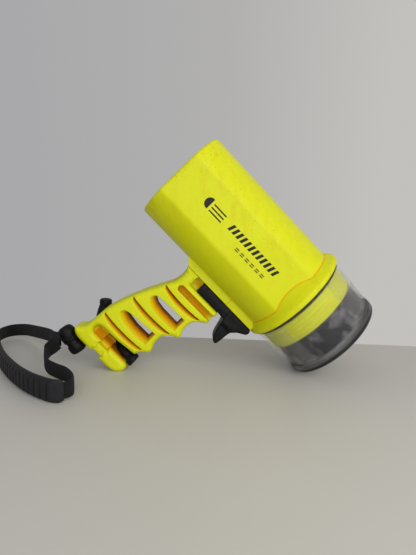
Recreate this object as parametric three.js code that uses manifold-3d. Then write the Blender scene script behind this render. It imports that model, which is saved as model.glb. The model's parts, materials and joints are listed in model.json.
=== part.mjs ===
// Hand-held firefighter flashlight, modelled in millimetres with +Z up.
// It stands as it rests on a table: the front rim and the foot of the handle touch the ground.
// The lamp is built along its own optical axis (x forward, z away from the handle) and then
// pitched down into that stance. The wrist lanyard lies on the ground behind it.
import * as THREE from 'three';
import * as BufferGeometryUtils from 'three/addons/utils/BufferGeometryUtils.js';
import Module from 'manifold-3d';

const wasm = await Module();
wasm.setup();

// ---------------------------------------------------------------- driving dimensions
const GAP = 0.3; // clearance between pieces that touch
const SEGMENTS = 36; // sides of the large round parts

const BARREL_R = 40.8; // outer radius of the barrel
const FLAT_Y = 36.5; // distance of each side flat from the middle
const WALL = 3.2; // wall of the barrel
const NECK_R = 39.6; // threaded neck under the bezel
const NECK_BORE_R = 36.5;
const NECK_START = 136.6; // front face of the flange
const NECK_END = 157;
const FRONT_X = 186; // front rim of the bezel
const WINDOW_X = 184.2; // front face of the window, set back inside the rim
const WINDOW_BACK_X = 179.4;
const RIM_R = 42; // radius of the front rim
const BEZEL_BORE_R = 39.4;
const THREAD_CREST_R = 40.4;

const RAIL_HALF_WIDTH = 12.6;
const RAIL_BOTTOM = -45.3; // underside of the rail that carries handle and trigger
const GRIP_HALF_WIDTH = 12.5;
const TRIGGER_TOP = RAIL_BOTTOM - GAP - 0.2;
const TRIGGER_BOTTOM = -54.8;
const WEB_HALF_WIDTH = 4; // web of the handle that the trigger fork straddles
const WEB_FRONT = 98.6;

const CELL_R = 13.1; // C cell
const CELL_LENGTH = 50;
const CELL_OFFSET = 13.4; // cell centres from the middle, each way

// Ground contacts in the lamp's own x and z; the line through them sets the resting stance.
const FOOT = new THREE.Vector2(80, -149);
const RIM_CONTACT = new THREE.Vector2(185.6, -41.3);
const PITCH_DOWN = Math.atan2(RIM_CONTACT.y - FOOT.y, RIM_CONTACT.x - FOOT.x);
const LAMP_MIDDLE_X = 37.3528; // the scene's origin lies on the ground under the middle of the lamp

const SCREW_X = [63, 74.5]; // the two screws that hold the handle to the rail
const SCREW_CLEAR_R = 1.7;
const RIDGE_X = [142.5, 145.5, 148.5, 151.5, 154.5]; // thread ridges on the neck
const FINGER_SLOT = [64, 104, -65.2, -59.3]; // rear, front, bottom and top of the slot in each side
const FINGER_SLOT_DEPTH = 8;
const GROOVES = [[56, 95.4, -69.8], [44.6, 87, -95.3], [38, 80.6, -121]]; // rear, front, height
const GROOVE_DEPTH = 7.5;
const WINDOWS = [[54.6, 87.6, -91, -78.8], [46, 79.4, -116.6, -104.2]]; // rear, front, bottom, top
const BUTT_INSET = 1.9; // depth of the waist between butt and foot

const SHELL_END = 178.8;
const CORD_R = 1.7;
const CORD_HOLE_R = 2.4;
// Short cord from the toggle through the butt of the handle to the cord lock.
const LANYARD_ROUTE = [[56, 11.2, -138.2], [55.2, 6, -139.4], [53.6, 2, -141.4], [50, 0, -144.6],
  [45, 0, -147.4], [40, 0, -149.9], [36.3, 0, -152.5]];
// Toggle: a soft bar that lies against the far side of the handle and bends into the gap of the butt.
const TOGGLE_ROUTE = [[30.1, 19.8, -120.4], [33.4, 19.8, -124.2], [37.4, 19.8, -131], [42, 19.8, -136.4],
  [50, 18.9, -137.4], [58.5, 14.6, -135.4], [64, 7, -135.2], [71, -1.5, -135.1], [80, -5.4, -134.4],
  [84.6, -6, -134]];
const TOGGLE_RADII = [[0, 4.3], [0.02, 5.3], [0.06, 5.4], [0.09, 5.1], [0.18, 5.4], [0.27, 5.6], [0.33, 5.1],
  [0.385, 4.5], [0.45, 4], [0.52, 3.6], [0.585, 3.5], [0.65, 3.4], [0.7, 3.6], [0.75, 3.9], [0.9, 3.95],
  [0.93, 4.6], [0.955, 5.8], [0.985, 5.9], [1, 5]]; // share of the route, radius
const TOGGLE_SIDES = 14;

// Cord lock on the ground: a round body with a spring-loaded plunger that stands out of its lower end.
const LOCK_PLACE = new THREE.Vector3(-130.3, 0, 28.2);
const LOCK_TILT = 34; // degrees off the vertical

const STRAP_WIDTH = 12;
const STRAP_THICKNESS = 1.8;
const SLEEVE_WIDTH = 16.5;
const SLEEVE_THICKNESS = 3.6;
// Route of the strap's middle line: out of the lock, round on the ground and back to the lock.
const STRAP_ROUTE = [[-138.4, 3.2, 23.2], [-147, 16, 20.5], [-157, 34, 18], [-178, 62, 13.5], [-200, 84, 9.8],
  [-213, 86, 8.2], [-218, 74, 8], [-211, 48, 8.2], [-195, 13, 8.6], [-173, -23, 8.6], [-150, -52, 8.6],
  [-132, -68, 8.6], [-117.5, -75.5, 8.6], [-109.8, -70, 8.6], [-111.6, -58, 8.6], [-120.6, -43, 8.6],
  [-132, -33, 8.6], [-140, -25, 9], [-145.6, -15, 11], [-145.6, -7, 15.8], [-139.3, -3, 21.6]];
const SLEEVE_SPAN = [0.4, 0.775]; // stretch of the route under the ribbed sleeve

const PLATE_R = 32.6; // battery carrier
const REAR_PLATE_X = [5, 7.6];
const MIDDLE_PLATE_X = [61.2, 63.8];
const FRONT_PLATE_X = [117.4, 120];
const ROD_R = 2.6;

// ---------------------------------------------------------------- colours
const YELLOW = 0xd3dc1e;
const BLACK = 0x18181a;
const CARRIER_BLACK = 0x202124;
const STEEL = 0xb8b8bb;
const BRIGHT_STEEL = 0xc4c4c6;
const MAGNET_GREY = 0xa9aaad;
const REED_GLASS = 0xbcd8d0;
const RUBBER_BLACK = 0x101012;
const SLEEVE_BLACK = 0x1c1d20;
const CLEAR = 0xb9bcc0;
const SMOKED = 0x26272a;
const CHROME = 0xd9dadd;
const ALLOY = 0x8f9296;
const CERAMIC = 0xe8e8e2;
const PHOSPHOR = 0xf3e7a0;
const BOARD_GREEN = 0x1f6b3a;
const BRASS = 0xc9a64a;
const CELL_WRAP = 0x33363a;
const material = (color, roughness = 0.6, metalness = 0) =>
  new THREE.MeshStandardMaterial({ color, roughness, metalness });

// ---------------------------------------------------------------- helpers
// Merges shared vertices and turns the faces outwards, so that the geometry is one closed body.
function closed(geometry) {
  const bare = geometry.clone();
  bare.deleteAttribute('normal');
  bare.deleteAttribute('uv');
  const merged = BufferGeometryUtils.mergeVertices(bare, 1e-4);
  const p = merged.attributes.position;
  const kept = [];
  const a = new THREE.Vector3();
  const b = new THREE.Vector3();
  const c = new THREE.Vector3();
  let volume = 0;
  for (let i = 0; i < merged.index.count; i += 3) {
    const [i0, i1, i2] = [0, 1, 2].map((k) => merged.index.getX(i + k));
    if (i0 === i1 || i1 === i2 || i2 === i0) continue;
    a.fromBufferAttribute(p, i0);
    b.fromBufferAttribute(p, i1);
    c.fromBufferAttribute(p, i2);
    volume += a.dot(b.clone().cross(c));
    kept.push(i0, i1, i2);
  }
  if (volume < 0) kept.reverse();
  merged.setIndex(kept);
  return merged;
}

function toSolid(geometry) {
  const g = closed(geometry);
  const vertProperties = new Float32Array(g.attributes.position.array);
  const triVerts = new Uint32Array(g.index.array);
  return new wasm.Manifold(new wasm.Mesh({ numProp: 3, vertProperties, triVerts }));
}

function toGeometry(solid) {
  const mesh = solid.getMesh();
  const geometry = new THREE.BufferGeometry();
  geometry.setAttribute('position', new THREE.BufferAttribute(mesh.vertProperties, 3));
  geometry.setIndex(new THREE.BufferAttribute(mesh.triVerts, 1));
  return geometry;
}

// Joins the first list of geometries and cuts the second list out of it.
function shaped(joined, cuts = []) {
  let solid = joined.map(toSolid).reduce((whole, piece) => whole.add(piece));
  for (const cut of cuts) solid = solid.subtract(toSolid(cut));
  return toGeometry(solid);
}

const box = (x0, x1, y0, y1, z0, z1) =>
  new THREE.BoxGeometry(x1 - x0, y1 - y0, z1 - z0).translate((x0 + x1) / 2, (y0 + y1) / 2, (z0 + z1) / 2);

// Body of revolution about the x axis from [x, radius] points; it closes on itself.
function turned(points, segments = SEGMENTS, phase = 0) {
  const profile = points.map(([x, r]) => new THREE.Vector2(r, x));
  profile.push(profile[0].clone());
  return new THREE.LatheGeometry(profile, segments, phase).rotateZ(-Math.PI / 2);
}

const disc = (x0, x1, r, segments = SEGMENTS) => turned([[x0, 0], [x0, r], [x1, r], [x1, 0]], segments);
const ring = (x0, x1, rIn, rOut, segments = SEGMENTS) =>
  turned([[x0, rIn], [x0, rOut], [x1, rOut], [x1, rIn]], segments);

// Prism of an x-z outline between two y values.
function prism(shape, y0, y1, curveSegments = 6) {
  const geometry = new THREE.ExtrudeGeometry(shape, { depth: y1 - y0, bevelEnabled: false, curveSegments });
  return geometry.rotateX(Math.PI / 2).translate(0, y1, 0);
}

function polygon(points) {
  return new THREE.Shape(points.map(([x, z]) => new THREE.Vector2(x, z)));
}

// Long hole with a round rear end at x0 and a square front end at x1.
function roundEnded(x0, x1, z0, z1) {
  const r = (z1 - z0) / 2;
  const shape = new THREE.Shape();
  shape.moveTo(x1, z0);
  shape.lineTo(x1, z1);
  shape.lineTo(x0 + r, z1);
  shape.absarc(x0 + r, (z0 + z1) / 2, r, Math.PI / 2, 1.5 * Math.PI, false);
  return shape;
}

// Upright round stub or hole along z.
const post = (x, y, z0, z1, r, segments = 20) =>
  new THREE.CylinderGeometry(r, r, z1 - z0, segments).rotateX(Math.PI / 2).translate(x, y, (z0 + z1) / 2);

// Round tube along a curve.
function swept(curve, radius, steps, sides = 12) {
  const corners = Array.from({ length: sides }, (_, i) => (2 * Math.PI * i) / sides);
  const section = new THREE.Shape(
    corners.map((angle) => new THREE.Vector2(radius * Math.cos(angle), radius * Math.sin(angle))),
  );
  return new THREE.ExtrudeGeometry(section, { steps, bevelEnabled: false, extrudePath: curve });
}

// Body of revolution about the z axis from [z, radius] points; it closes on itself.
function upright(points, segments = 24) {
  const profile = points.map(([z, r]) => new THREE.Vector2(r, z));
  profile.push(profile[0].clone());
  return new THREE.LatheGeometry(profile, segments).rotateX(Math.PI / 2);
}

// Closed skin over a row of rings that all have the same number of points.
function skinned(rings) {
  const sides = rings[0].length;
  const index = [];
  for (let i = 0; i < rings.length - 1; i += 1) {
    for (let k = 0; k < sides; k += 1) {
      const a = i * sides + k;
      const b = i * sides + ((k + 1) % sides);
      index.push(a, b, a + sides, b, b + sides, a + sides);
    }
  }
  const last = (rings.length - 1) * sides;
  for (let k = 1; k < sides - 1; k += 1) index.push(0, k + 1, k, last, last + k, last + k + 1);
  const positions = rings.flat().flatMap((point) => point.toArray());
  const geometry = new THREE.BufferGeometry();
  geometry.setAttribute('position', new THREE.Float32BufferAttribute(positions, 3));
  geometry.setIndex(index);
  geometry.computeVertexNormals();
  return geometry;
}

// Smooth curve through [x, y, z] points.
const curveThrough = (route) =>
  new THREE.CatmullRomCurve3(route.map((point) => new THREE.Vector3(...point)));

const lamp = new THREE.Group(); // everything built along the optical axis
const ground = new THREE.Group(); // what lies on the ground
function add(group, name, geometry, finish) {
  const mesh = new THREE.Mesh(closed(geometry), finish);
  mesh.name = name;
  group.add(mesh);
  return mesh;
}

// ---------------------------------------------------------------- housing
function barrel() {
  const flats = (half, x0, x1) => [-1, 1].map((side) => box(x0, x1, side * half, side * 60, -60, 60));
  const outside = turned([[0, 0], [0, 38.6], [0.8, 40.2], [2.6, BARREL_R], [130, BARREL_R], [130, 0]]);
  const shell = shaped([outside], flats(FLAT_Y, -1, 131));
  const flange = turned([[121.9, 0], [121.9, 36.2], [127, BARREL_R], [131.5, 45.2], [133.6, 46.2],
    [135.4, 46], [NECK_START, 44.6], [NECK_START, 0]]);
  const neck = disc(NECK_START - 1, NECK_END, NECK_R);
  const rootR = NECK_R - 0.4;
  const ridges = RIDGE_X.map((x) => turned([[x - 1.4, rootR], [x, THREAD_CREST_R], [x + 1.4, rootR]]));
  const railSide = polygon([[51.6, -30], [51.6, -39.6], [57.4, RAIL_BOTTOM], [127.5, RAIL_BOTTOM],
    [130.5, -44], [130.5, -30]]);
  const rail = prism(railSide, -RAIL_HALF_WIDTH, RAIL_HALF_WIDTH);
  const bay = shaped([disc(4, 126, BARREL_R - WALL)], flats(FLAT_Y - WALL, 3, 127));
  const bore = disc(125, NECK_END + 1, NECK_BORE_R);
  const screwHoles = SCREW_X.map((x) => post(x, 0, -60, -41, SCREW_CLEAR_R));
  return shaped([shell, flange, neck, rail, ...ridges], [bay, bore, ...screwHoles]);
}

add(lamp, 'housing', barrel(), material(YELLOW, 0.55));

// ---------------------------------------------------------------- handle
function gripOutline() {
  const s = new THREE.Shape();
  const top = RAIL_BOTTOM - GAP;
  s.moveTo(57.6, top);
  s.bezierCurveTo(60.5, -51, 60.6, -58, 58, -64);
  s.bezierCurveTo(51, -78, 41.5, -96, 36.6, -118);
  s.bezierCurveTo(35.3, -126, 36.3, -136.6, 34.4, -141.2);
  s.bezierCurveTo(33.2, -143.8, 31.4, -145, 30, -146.6);
  s.bezierCurveTo(28.8, -148.4, 31.6, -152.2, 40, -152.3);
  s.lineTo(52.3, -152.3);
  s.lineTo(52.3, -150.2);
  s.lineTo(61, -150.2);
  s.lineTo(61, -152.9);
  s.lineTo(71, -152.9);
  s.bezierCurveTo(77.5, -152.9, 83.4, -149.2, 83, -143.5);
  s.bezierCurveTo(82.6, -140.5, 80.5, -139.4, 77.5, -139.4);
  s.lineTo(61.5, -139.4);
  s.lineTo(61.5, -143.2);
  s.lineTo(52.6, -143.2);
  s.lineTo(52.6, -140);
  s.lineTo(45, -140);
  s.absarc(45, -135.6, 4.4, 1.5 * Math.PI, Math.PI / 2, true);
  s.lineTo(62, -130.8);
  s.lineTo(79.5, -129);
  s.lineTo(80.6, -125.4);
  s.lineTo(85.2, -121);
  s.bezierCurveTo(88.4, -118.4, 87, -115.4, 85, -112.6);
  s.bezierCurveTo(83.2, -108, 83.2, -102.4, 86.4, -98.6);
  s.bezierCurveTo(88.4, -96.4, 91, -95, 93.6, -94);
  s.bezierCurveTo(96.2, -92.4, 95, -90.2, 93.6, -87.6);
  s.bezierCurveTo(91.6, -83, 91.8, -77.6, 94.8, -73.6);
  s.bezierCurveTo(96.8, -71, 99.6, -70.2, 101.4, -68);
  s.lineTo(102.7, -65.6);
  s.lineTo(102.7, -56.6);
  s.lineTo(101.4, -55.2);
  s.lineTo(70, -55.2);
  s.lineTo(70, top);
  return s;
}

// Shallow groove that follows the grip as a gentle sagging curve.
function sagGroove(x0, x1, z, sag, width) {
  const s = new THREE.Shape();
  const middle = (x0 + x1) / 2;
  s.moveTo(x0, z + 0.6);
  s.quadraticCurveTo(middle, z - 2 * sag, x1, z);
  s.lineTo(x1 + 0.6, z - width * 0.5);
  s.quadraticCurveTo(middle, z - 2 * sag - 1.6 * width, x0, z - width * 0.4);
  return s;
}

function handle() {
  const grip = prism(gripOutline(), -GRIP_HALF_WIDTH, GRIP_HALF_WIDTH, 5);
  const web = box(69, WEB_FRONT, -WEB_HALF_WIDTH, WEB_HALF_WIDTH, -56, RAIL_BOTTOM - GAP);
  const buttWebs = [box(38, 52.8, -5.5, 5.5, -142, -131), box(52, 61.6, -3.5, 3.5, -144, -133.6)];
  const cuts = [];
  const both = (shape, depth) => {
    cuts.push(prism(shape, -GRIP_HALF_WIDTH - 1, depth - GRIP_HALF_WIDTH));
    cuts.push(prism(shape, GRIP_HALF_WIDTH - depth, GRIP_HALF_WIDTH + 1));
  };
  const through = (shape) => cuts.push(prism(shape, -GRIP_HALF_WIDTH - 1, GRIP_HALF_WIDTH + 1));
  both(roundEnded(...FINGER_SLOT), FINGER_SLOT_DEPTH);
  for (const [x0, x1, z] of GROOVES) both(sagGroove(x0, x1, z, 1.2, 2.6), GROOVE_DEPTH);
  for (const [x0, x1, low, high] of WINDOWS) {
    both(roundEnded(x0, x1, low, high), 3.5);
    both(roundEnded(x0 + 0.7, x1, low + 1.8, high - 0.2), 7);
    through(roundEnded(x0 + 1.2, x1, low + 3.6, high - 0.4));
  }
  both(polygon([[52.3, -153], [61, -153], [61, -143.2], [52.3, -143.2]]), BUTT_INSET);
  for (const x of SCREW_X) {
    cuts.push(post(x, 0, -60, -44, SCREW_CLEAR_R));
    cuts.push(post(x, 0, -80.5, -59.6, 3.2));
  }
  cuts.push(box(78.7, 92.3, -6, 6, -52.6, -48.4));
  cuts.push(swept(curveThrough(LANYARD_ROUTE), CORD_HOLE_R, 14));
  cuts.push(groundCut());
  return shaped([grip, web, ...buttWebs], cuts);
}

// Half space under the ground plane, in the lamp's own axes.
function groundCut() {
  const slab = new THREE.BoxGeometry(600, 100, 40).translate(0, 0, -20 - contactHeight());
  return slab.rotateY(-PITCH_DOWN);
}

// Height of the lamp's origin over the ground.
function contactHeight() {
  return RIM_CONTACT.x * Math.sin(PITCH_DOWN) - RIM_CONTACT.y * Math.cos(PITCH_DOWN);
}

add(lamp, 'handle', handle(), material(YELLOW, 0.55));
add(lamp, 'lanyard_cord', swept(curveThrough(LANYARD_ROUTE), CORD_R, 18, 8), material(BLACK, 0.9));

function screw(x) {
  const points = [[-41.8, 0], [-42.6, 1.35], [-60, 1.35], [-60, 2.8], [-62.4, 2.5], [-62.4, 0]];
  return upright(points, 16).translate(x, 0, 0);
}
SCREW_X.forEach((x, i) => add(lamp, `handle_screw_${i + 1}`, screw(x), material(STEEL, 0.35, 1)));

// ---------------------------------------------------------------- trigger
// A fork that slides on the web: two arms behind, one block and a finger blade in front.
function trigger() {
  const armIn = WEB_HALF_WIDTH + GAP;
  const blade = new THREE.Shape();
  blade.moveTo(104.5, TRIGGER_TOP);
  blade.lineTo(104.5, TRIGGER_BOTTOM);
  blade.lineTo(108.4, TRIGGER_BOTTOM);
  blade.bezierCurveTo(110, -58, 111.4, -66, 113.4, -70.6);
  blade.bezierCurveTo(115, -73.6, 117.4, -75.4, 119.2, -75);
  blade.bezierCurveTo(121, -74.4, 120.8, -70, 121.2, -64);
  blade.bezierCurveTo(121.6, -59, 122.8, -56.6, 126, -54.4);
  blade.lineTo(130.8, -51.6);
  blade.bezierCurveTo(132.6, -50.2, 132.8, -47.4, 131, -45.9);
  blade.lineTo(131, TRIGGER_TOP);
  const parts = [prism(blade, -11.5, 11.5)];
  for (const side of [-1, 1]) {
    const [a, b] = side < 0 ? [-12, -armIn] : [armIn, 12];
    parts.push(box(77, 106, a, b, TRIGGER_BOTTOM, TRIGGER_TOP));
    const [c, d] = side < 0 ? [-armIn - 0.5, -0.6] : [0.6, armIn + 0.5];
    parts.push(box(85.6, 92, c, d, -52.2, -48.8));
  }
  const cuts = [box(107, 123, -14, -8.4, -80, -58), box(107, 123, 8.4, 14, -80, -58)];
  cuts.push(box(109.6, 116.4, -3.3, 3.3, -50.2, -40));
  return shaped(parts, cuts);
}
add(lamp, 'trigger', trigger(), material(BLACK, 0.5));
add(lamp, 'trigger_magnet', box(110, 116, -2.9, 2.9, -49.8, -46.4), material(MAGNET_GREY, 0.3, 1));
add(lamp, 'reed_switch', turned([[102, 0], [102.6, 1], [112.4, 1], [113, 0]], 12).translate(0, 0, -35.6),
  material(REED_GLASS, 0.1));

// ---------------------------------------------------------------- seal, bezel and lamp module
add(lamp, 'o_ring', turned([[NECK_START + GAP, 41.6], [NECK_START + GAP, 43.4], [137.7, 44.2],
  [138.5, 43.4], [138.5, 41.6], [137.7, 40.9]]), material(RUBBER_BLACK, 0.7));

function bezel() {
  const outside = [[138.8, 40.7], [138.8, 42.8], [139.6, 43.4], [158, 42.7], [175, 41.5], [175.6, 41.1],
    [177, 41.1], [177.8, 41.8], [184.2, RIM_R], [185.6, 41.3], [FRONT_X, 39.8]];
  const window = [[FRONT_X, 37.4], [WINDOW_X, 36.2], [WINDOW_X, 0], [WINDOW_BACK_X, 0]];
  const inside = [[WINDOW_BACK_X, BEZEL_BORE_R], [158.2, BEZEL_BORE_R], [157.6, 40.7]];
  return turned([...outside, ...window, ...inside]);
}
add(lamp, 'clear_bezel', bezel(), material(CLEAR, 0.12));

const shellSide = [[157.4, 25.8], [157.4, 39], [SHELL_END, 39], [SHELL_END, 38.1], [159, 38.1], [159, 25.8]];
add(lamp, 'lamp_shell', turned(shellSide), material(SMOKED, 0.35));

// Paraboloid with its hole at the back; wall of constant thickness measured along the radius.
function reflector() {
  const vertex = 146;
  const front = 178.4;
  const frontR = 37;
  const k = frontR ** 2 / (front - vertex);
  const holeR = 7.4;
  const wall = 1.1;
  const steps = 6;
  const inner = [];
  for (let i = 0; i <= steps; i += 1) {
    const r = holeR + ((frontR - holeR) * i) / steps;
    inner.push([vertex + r ** 2 / k, r]);
  }
  const outer = inner.map(([x, r]) => [x - wall * (1 - r / (2 * frontR)), r + wall * 0.7]).reverse();
  outer[0] = [front, frontR + 0.8];
  return turned([...inner, ...outer], 32);
}
add(lamp, 'reflector', reflector(), material(CHROME, 0.08, 1));

add(lamp, 'heat_sink', turned([[136, 0], [136, 35.8], [139, 35.8], [139, 24], [140.5, 24], [140.5, 35.8],
  [143.5, 35.8], [143.5, 12], [145.6, 6.4], [148.4, 6.4], [148.4, 0]], 24), material(ALLOY, 0.4, 1));
add(lamp, 'led_board', disc(148.7, 150.1, 6.2, 24), material(CERAMIC, 0.5));
const domeSide = [[150.4, 0], [150.4, 3.4], [151.6, 3.4], [153.2, 2.6], [154.2, 1.2], [154.4, 0]];
add(lamp, 'led_emitter', turned(domeSide, 20), material(PHOSPHOR, 0.15));
add(lamp, 'driver_board', disc(133.8, 135.4, 34), material(BOARD_GREEN, 0.5));

function coil(turns, radius, wire, x0, x1) {
  const points = [];
  const steps = turns * 10;
  for (let i = 0; i <= steps; i += 1) {
    const angle = (2 * Math.PI * i) / 10;
    const x = x0 + ((x1 - x0) * i) / steps;
    points.push(new THREE.Vector3(x, radius * Math.cos(angle), radius * Math.sin(angle)));
  }
  return swept(new THREE.CatmullRomCurve3(points), wire / 2, steps, 5);
}
add(lamp, 'contact_spring', coil(4, 4, 0.9, 123.2, 132.9), material(BRASS, 0.3, 1));

// ---------------------------------------------------------------- battery carrier and cells
function carrierPlate([x0, x1]) {
  return shaped([disc(x0, x1, PLATE_R)], [disc(x0 - 1, x1 + 1, ROD_R + GAP, 20)]);
}
add(lamp, 'carrier_rear_plate', carrierPlate(REAR_PLATE_X), material(CARRIER_BLACK, 0.6));
add(lamp, 'carrier_middle_plate', carrierPlate(MIDDLE_PLATE_X), material(CARRIER_BLACK, 0.6));
add(lamp, 'carrier_front_plate', carrierPlate(FRONT_PLATE_X), material(CARRIER_BLACK, 0.6));
const rodSide = [[4.4, 0], [4.4, 4.4], [4.7, 4.4], [4.7, ROD_R], [122.4, ROD_R], [122.4, 0]];
add(lamp, 'carrier_rod', turned(rodSide, 16), material(STEEL, 0.35, 1));

function cellShape(x) {
  const shoulder = x + CELL_LENGTH - 1.8; // the contact button stands out of it
  return turned([[x, 0], [x, CELL_R - 0.6], [x + 0.6, CELL_R], [shoulder - 0.6, CELL_R],
    [shoulder, CELL_R - 0.8], [shoulder, 3.2], [x + CELL_LENGTH, 3.2], [x + CELL_LENGTH, 0]], 16);
}
const springShape = (x) => turned([[x, 0], [x, 5], [x + 2.4, 3], [x + 2.4, 0]], 10);
[REAR_PLATE_X, MIDDLE_PLATE_X].forEach(([, plateFront], layer) => {
  [[-1, -1], [1, -1], [1, 1], [-1, 1]].forEach(([sy, sz], corner) => {
    const number = 4 * layer + corner + 1;
    const y = sy * CELL_OFFSET;
    const z = sz * CELL_OFFSET;
    const springX = plateFront + GAP;
    const place = (shape) => shape.translate(0, y, z);
    add(lamp, `cell_spring_${number}`, place(springShape(springX)), material(BRIGHT_STEEL, 0.3, 1));
    add(lamp, `cell_${number}`, place(cellShape(springX + 2.7)), material(CELL_WRAP, 0.4));
  });
});

// ---------------------------------------------------------------- lanyard hardware
function toggle() {
  const curve = curveThrough(TOGGLE_ROUTE);
  const up = new THREE.Vector3();
  const side = new THREE.Vector3();
  const rings = TOGGLE_RADII.map(([share, radius]) => {
    const centre = curve.getPointAt(share);
    const along = curve.getTangentAt(share);
    up.set(0, 1, 0).addScaledVector(along, -along.y).normalize();
    side.crossVectors(along, up);
    return Array.from({ length: TOGGLE_SIDES }, (_, k) => {
      const angle = (2 * Math.PI * k) / TOGGLE_SIDES;
      const point = centre.clone().addScaledVector(side, radius * Math.cos(angle));
      return point.addScaledVector(up, radius * Math.sin(angle));
    });
  });
  return skinned(rings);
}
add(lamp, 'lanyard_toggle', toggle(), material(BLACK, 0.5));

const lock = new THREE.Group();
lock.position.copy(LOCK_PLACE);
lock.rotation.y = THREE.MathUtils.degToRad(-LOCK_TILT);
ground.add(lock);
add(lock, 'strap_lock_body', upright([[-6, 6.5], [-6, 7], [-4.6, 7.4], [0, 7.5], [4, 7.2], [6.6, 6.2],
  [7.8, 3.8], [7.8, 0], [6.4, 0], [6.4, 4.8], [3.9, 6.5]]), material(BLACK, 0.5));
add(lock, 'strap_lock_button', upright([[-17.4, 0], [-17.4, 4.8], [-16, 6.7], [-13, 7.3], [-10.2, 7.2],
  [-8.8, 6.8], [-8.8, 6.2], [1, 6.2], [1, 5.4], [-2.8, 5.4], [-2.8, 0]]), material(BLACK, 0.5));
add(lock, 'strap_lock_spring', upright([[-1.2, 2.6], [-1.2, 3.6], [6.1, 3.6], [6.1, 2.6]], 16),
  material(STEEL, 0.3, 1));

// ---------------------------------------------------------------- wrist strap
const strapCurve = curveThrough(STRAP_ROUTE);

// Flat band on its edge along a stretch of the route, with softened corners.
function band(from, to, width, thickness, steps) {
  const corners = [[-0.5, -0.36], [-0.3, -0.5], [0.3, -0.5], [0.5, -0.36], [0.5, 0.36], [0.3, 0.5],
    [-0.3, 0.5], [-0.5, 0.36]];
  const up = new THREE.Vector3();
  const across = new THREE.Vector3();
  const rings = Array.from({ length: steps + 1 }, (_, i) => {
    const share = from + ((to - from) * i) / steps;
    const centre = strapCurve.getPointAt(share);
    const along = strapCurve.getTangentAt(share);
    up.set(0, 0, 1).addScaledVector(along, -along.z).normalize();
    across.crossVectors(along, up);
    return corners.map(([a, b]) => (
      centre.clone().addScaledVector(across, a * thickness).addScaledVector(up, b * width)
    ));
  });
  return skinned(rings);
}
const joint = GAP / strapCurve.getLength();
add(ground, 'strap_band_far', band(0, SLEEVE_SPAN[0] - joint, STRAP_WIDTH, STRAP_THICKNESS, 26),
  material(BLACK, 0.9));
add(ground, 'strap_sleeve', band(...SLEEVE_SPAN, SLEEVE_WIDTH, SLEEVE_THICKNESS, 28),
  material(SLEEVE_BLACK, 0.8));
add(ground, 'strap_band_near', band(SLEEVE_SPAN[1] + joint, 1, STRAP_WIDTH, STRAP_THICKNESS, 22),
  material(BLACK, 0.9));

// ---------------------------------------------------------------- stance
lamp.rotation.y = PITCH_DOWN;
lamp.position.set(-LAMP_MIDDLE_X, 0, contactHeight());

const flashlight = new THREE.Group();
flashlight.add(lamp, ground);
export default flashlight;
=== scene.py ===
"""Visual model of a hand-held firefighter flashlight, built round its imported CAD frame.

Pieces are modelled in millimetres along the lamp's own axes (x forward along the beam, z away
from the handle) and then placed by the axis that the frame's joints give.
"""
import json
import math

import bmesh
import bpy
import numpy as np
from mathutils import Matrix, Vector


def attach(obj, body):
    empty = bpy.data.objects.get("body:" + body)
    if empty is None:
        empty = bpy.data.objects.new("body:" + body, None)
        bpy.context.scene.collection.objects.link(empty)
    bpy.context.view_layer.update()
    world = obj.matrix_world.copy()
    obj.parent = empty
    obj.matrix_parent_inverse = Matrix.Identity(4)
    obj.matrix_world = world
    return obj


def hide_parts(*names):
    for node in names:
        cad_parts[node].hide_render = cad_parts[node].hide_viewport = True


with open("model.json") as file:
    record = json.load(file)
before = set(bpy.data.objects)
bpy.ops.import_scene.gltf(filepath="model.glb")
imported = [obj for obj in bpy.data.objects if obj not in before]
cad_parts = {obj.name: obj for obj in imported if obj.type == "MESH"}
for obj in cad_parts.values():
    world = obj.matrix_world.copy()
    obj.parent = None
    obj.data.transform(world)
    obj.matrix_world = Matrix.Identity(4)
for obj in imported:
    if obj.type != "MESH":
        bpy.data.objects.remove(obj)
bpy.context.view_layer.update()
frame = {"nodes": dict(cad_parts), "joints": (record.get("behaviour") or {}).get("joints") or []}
NODES = frame["nodes"]
JOINTS = {joint["name"]: joint for joint in frame["joints"]}

MM = 0.001

# ---- the lamp's own axes
JOINT_POINT_X = 160  # where on the beam axis the bezel's joint is stated, in mm
FORWARD = Vector(JOINTS["bezel_turn"]["axis"]).normalized()
SIDE = Vector((0, 1, 0))
UP = FORWARD.cross(SIDE).normalized()
ORIGIN = Vector(JOINTS["bezel_turn"]["pos_m"]) - FORWARD * JOINT_POINT_X * MM
LAMP_TURN = Matrix((FORWARD, SIDE, UP)).transposed().to_4x4()
LAMP = Matrix.Translation(ORIGIN) @ LAMP_TURN @ Matrix.Scale(MM, 4)

# ---- camera and cords come first
CAMERA_PLACE = Vector((-0.0202, -0.3841, 0.1335))
CAMERA_FORWARD = Vector((0.0174, 0.9896, -0.1430)).normalized()
CAMERA_ROLL = math.radians(0.8)
CAMERA_LENS = 30.28


def make_camera():
    camera = bpy.data.objects.new("camera", bpy.data.cameras.new("camera"))
    bpy.context.scene.collection.objects.link(camera)
    turn = CAMERA_FORWARD.to_track_quat("-Z", "Y") @ Matrix.Rotation(CAMERA_ROLL, 4, "Z").to_quaternion()
    camera.matrix_world = Matrix.Translation(CAMERA_PLACE) @ turn.to_matrix().to_4x4()
    camera.data.lens = CAMERA_LENS
    camera.data.clip_start = 0.01
    bpy.context.scene.camera = camera


make_camera()


# ---- mesh helpers
def mesh_object(name, points, faces, matrix=LAMP, smooth=True):
    """A mesh from points in the given axes; faces are rows of point numbers."""
    mesh = bpy.data.meshes.new(name)
    mesh.from_pydata([tuple(p) for p in points], [], [tuple(f) for f in faces])
    mesh.transform(matrix)
    mesh.validate()
    mesh.update()
    if smooth:
        mesh.shade_smooth()
    made = bpy.data.objects.new(name, mesh)
    bpy.context.scene.collection.objects.link(made)
    return made


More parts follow.
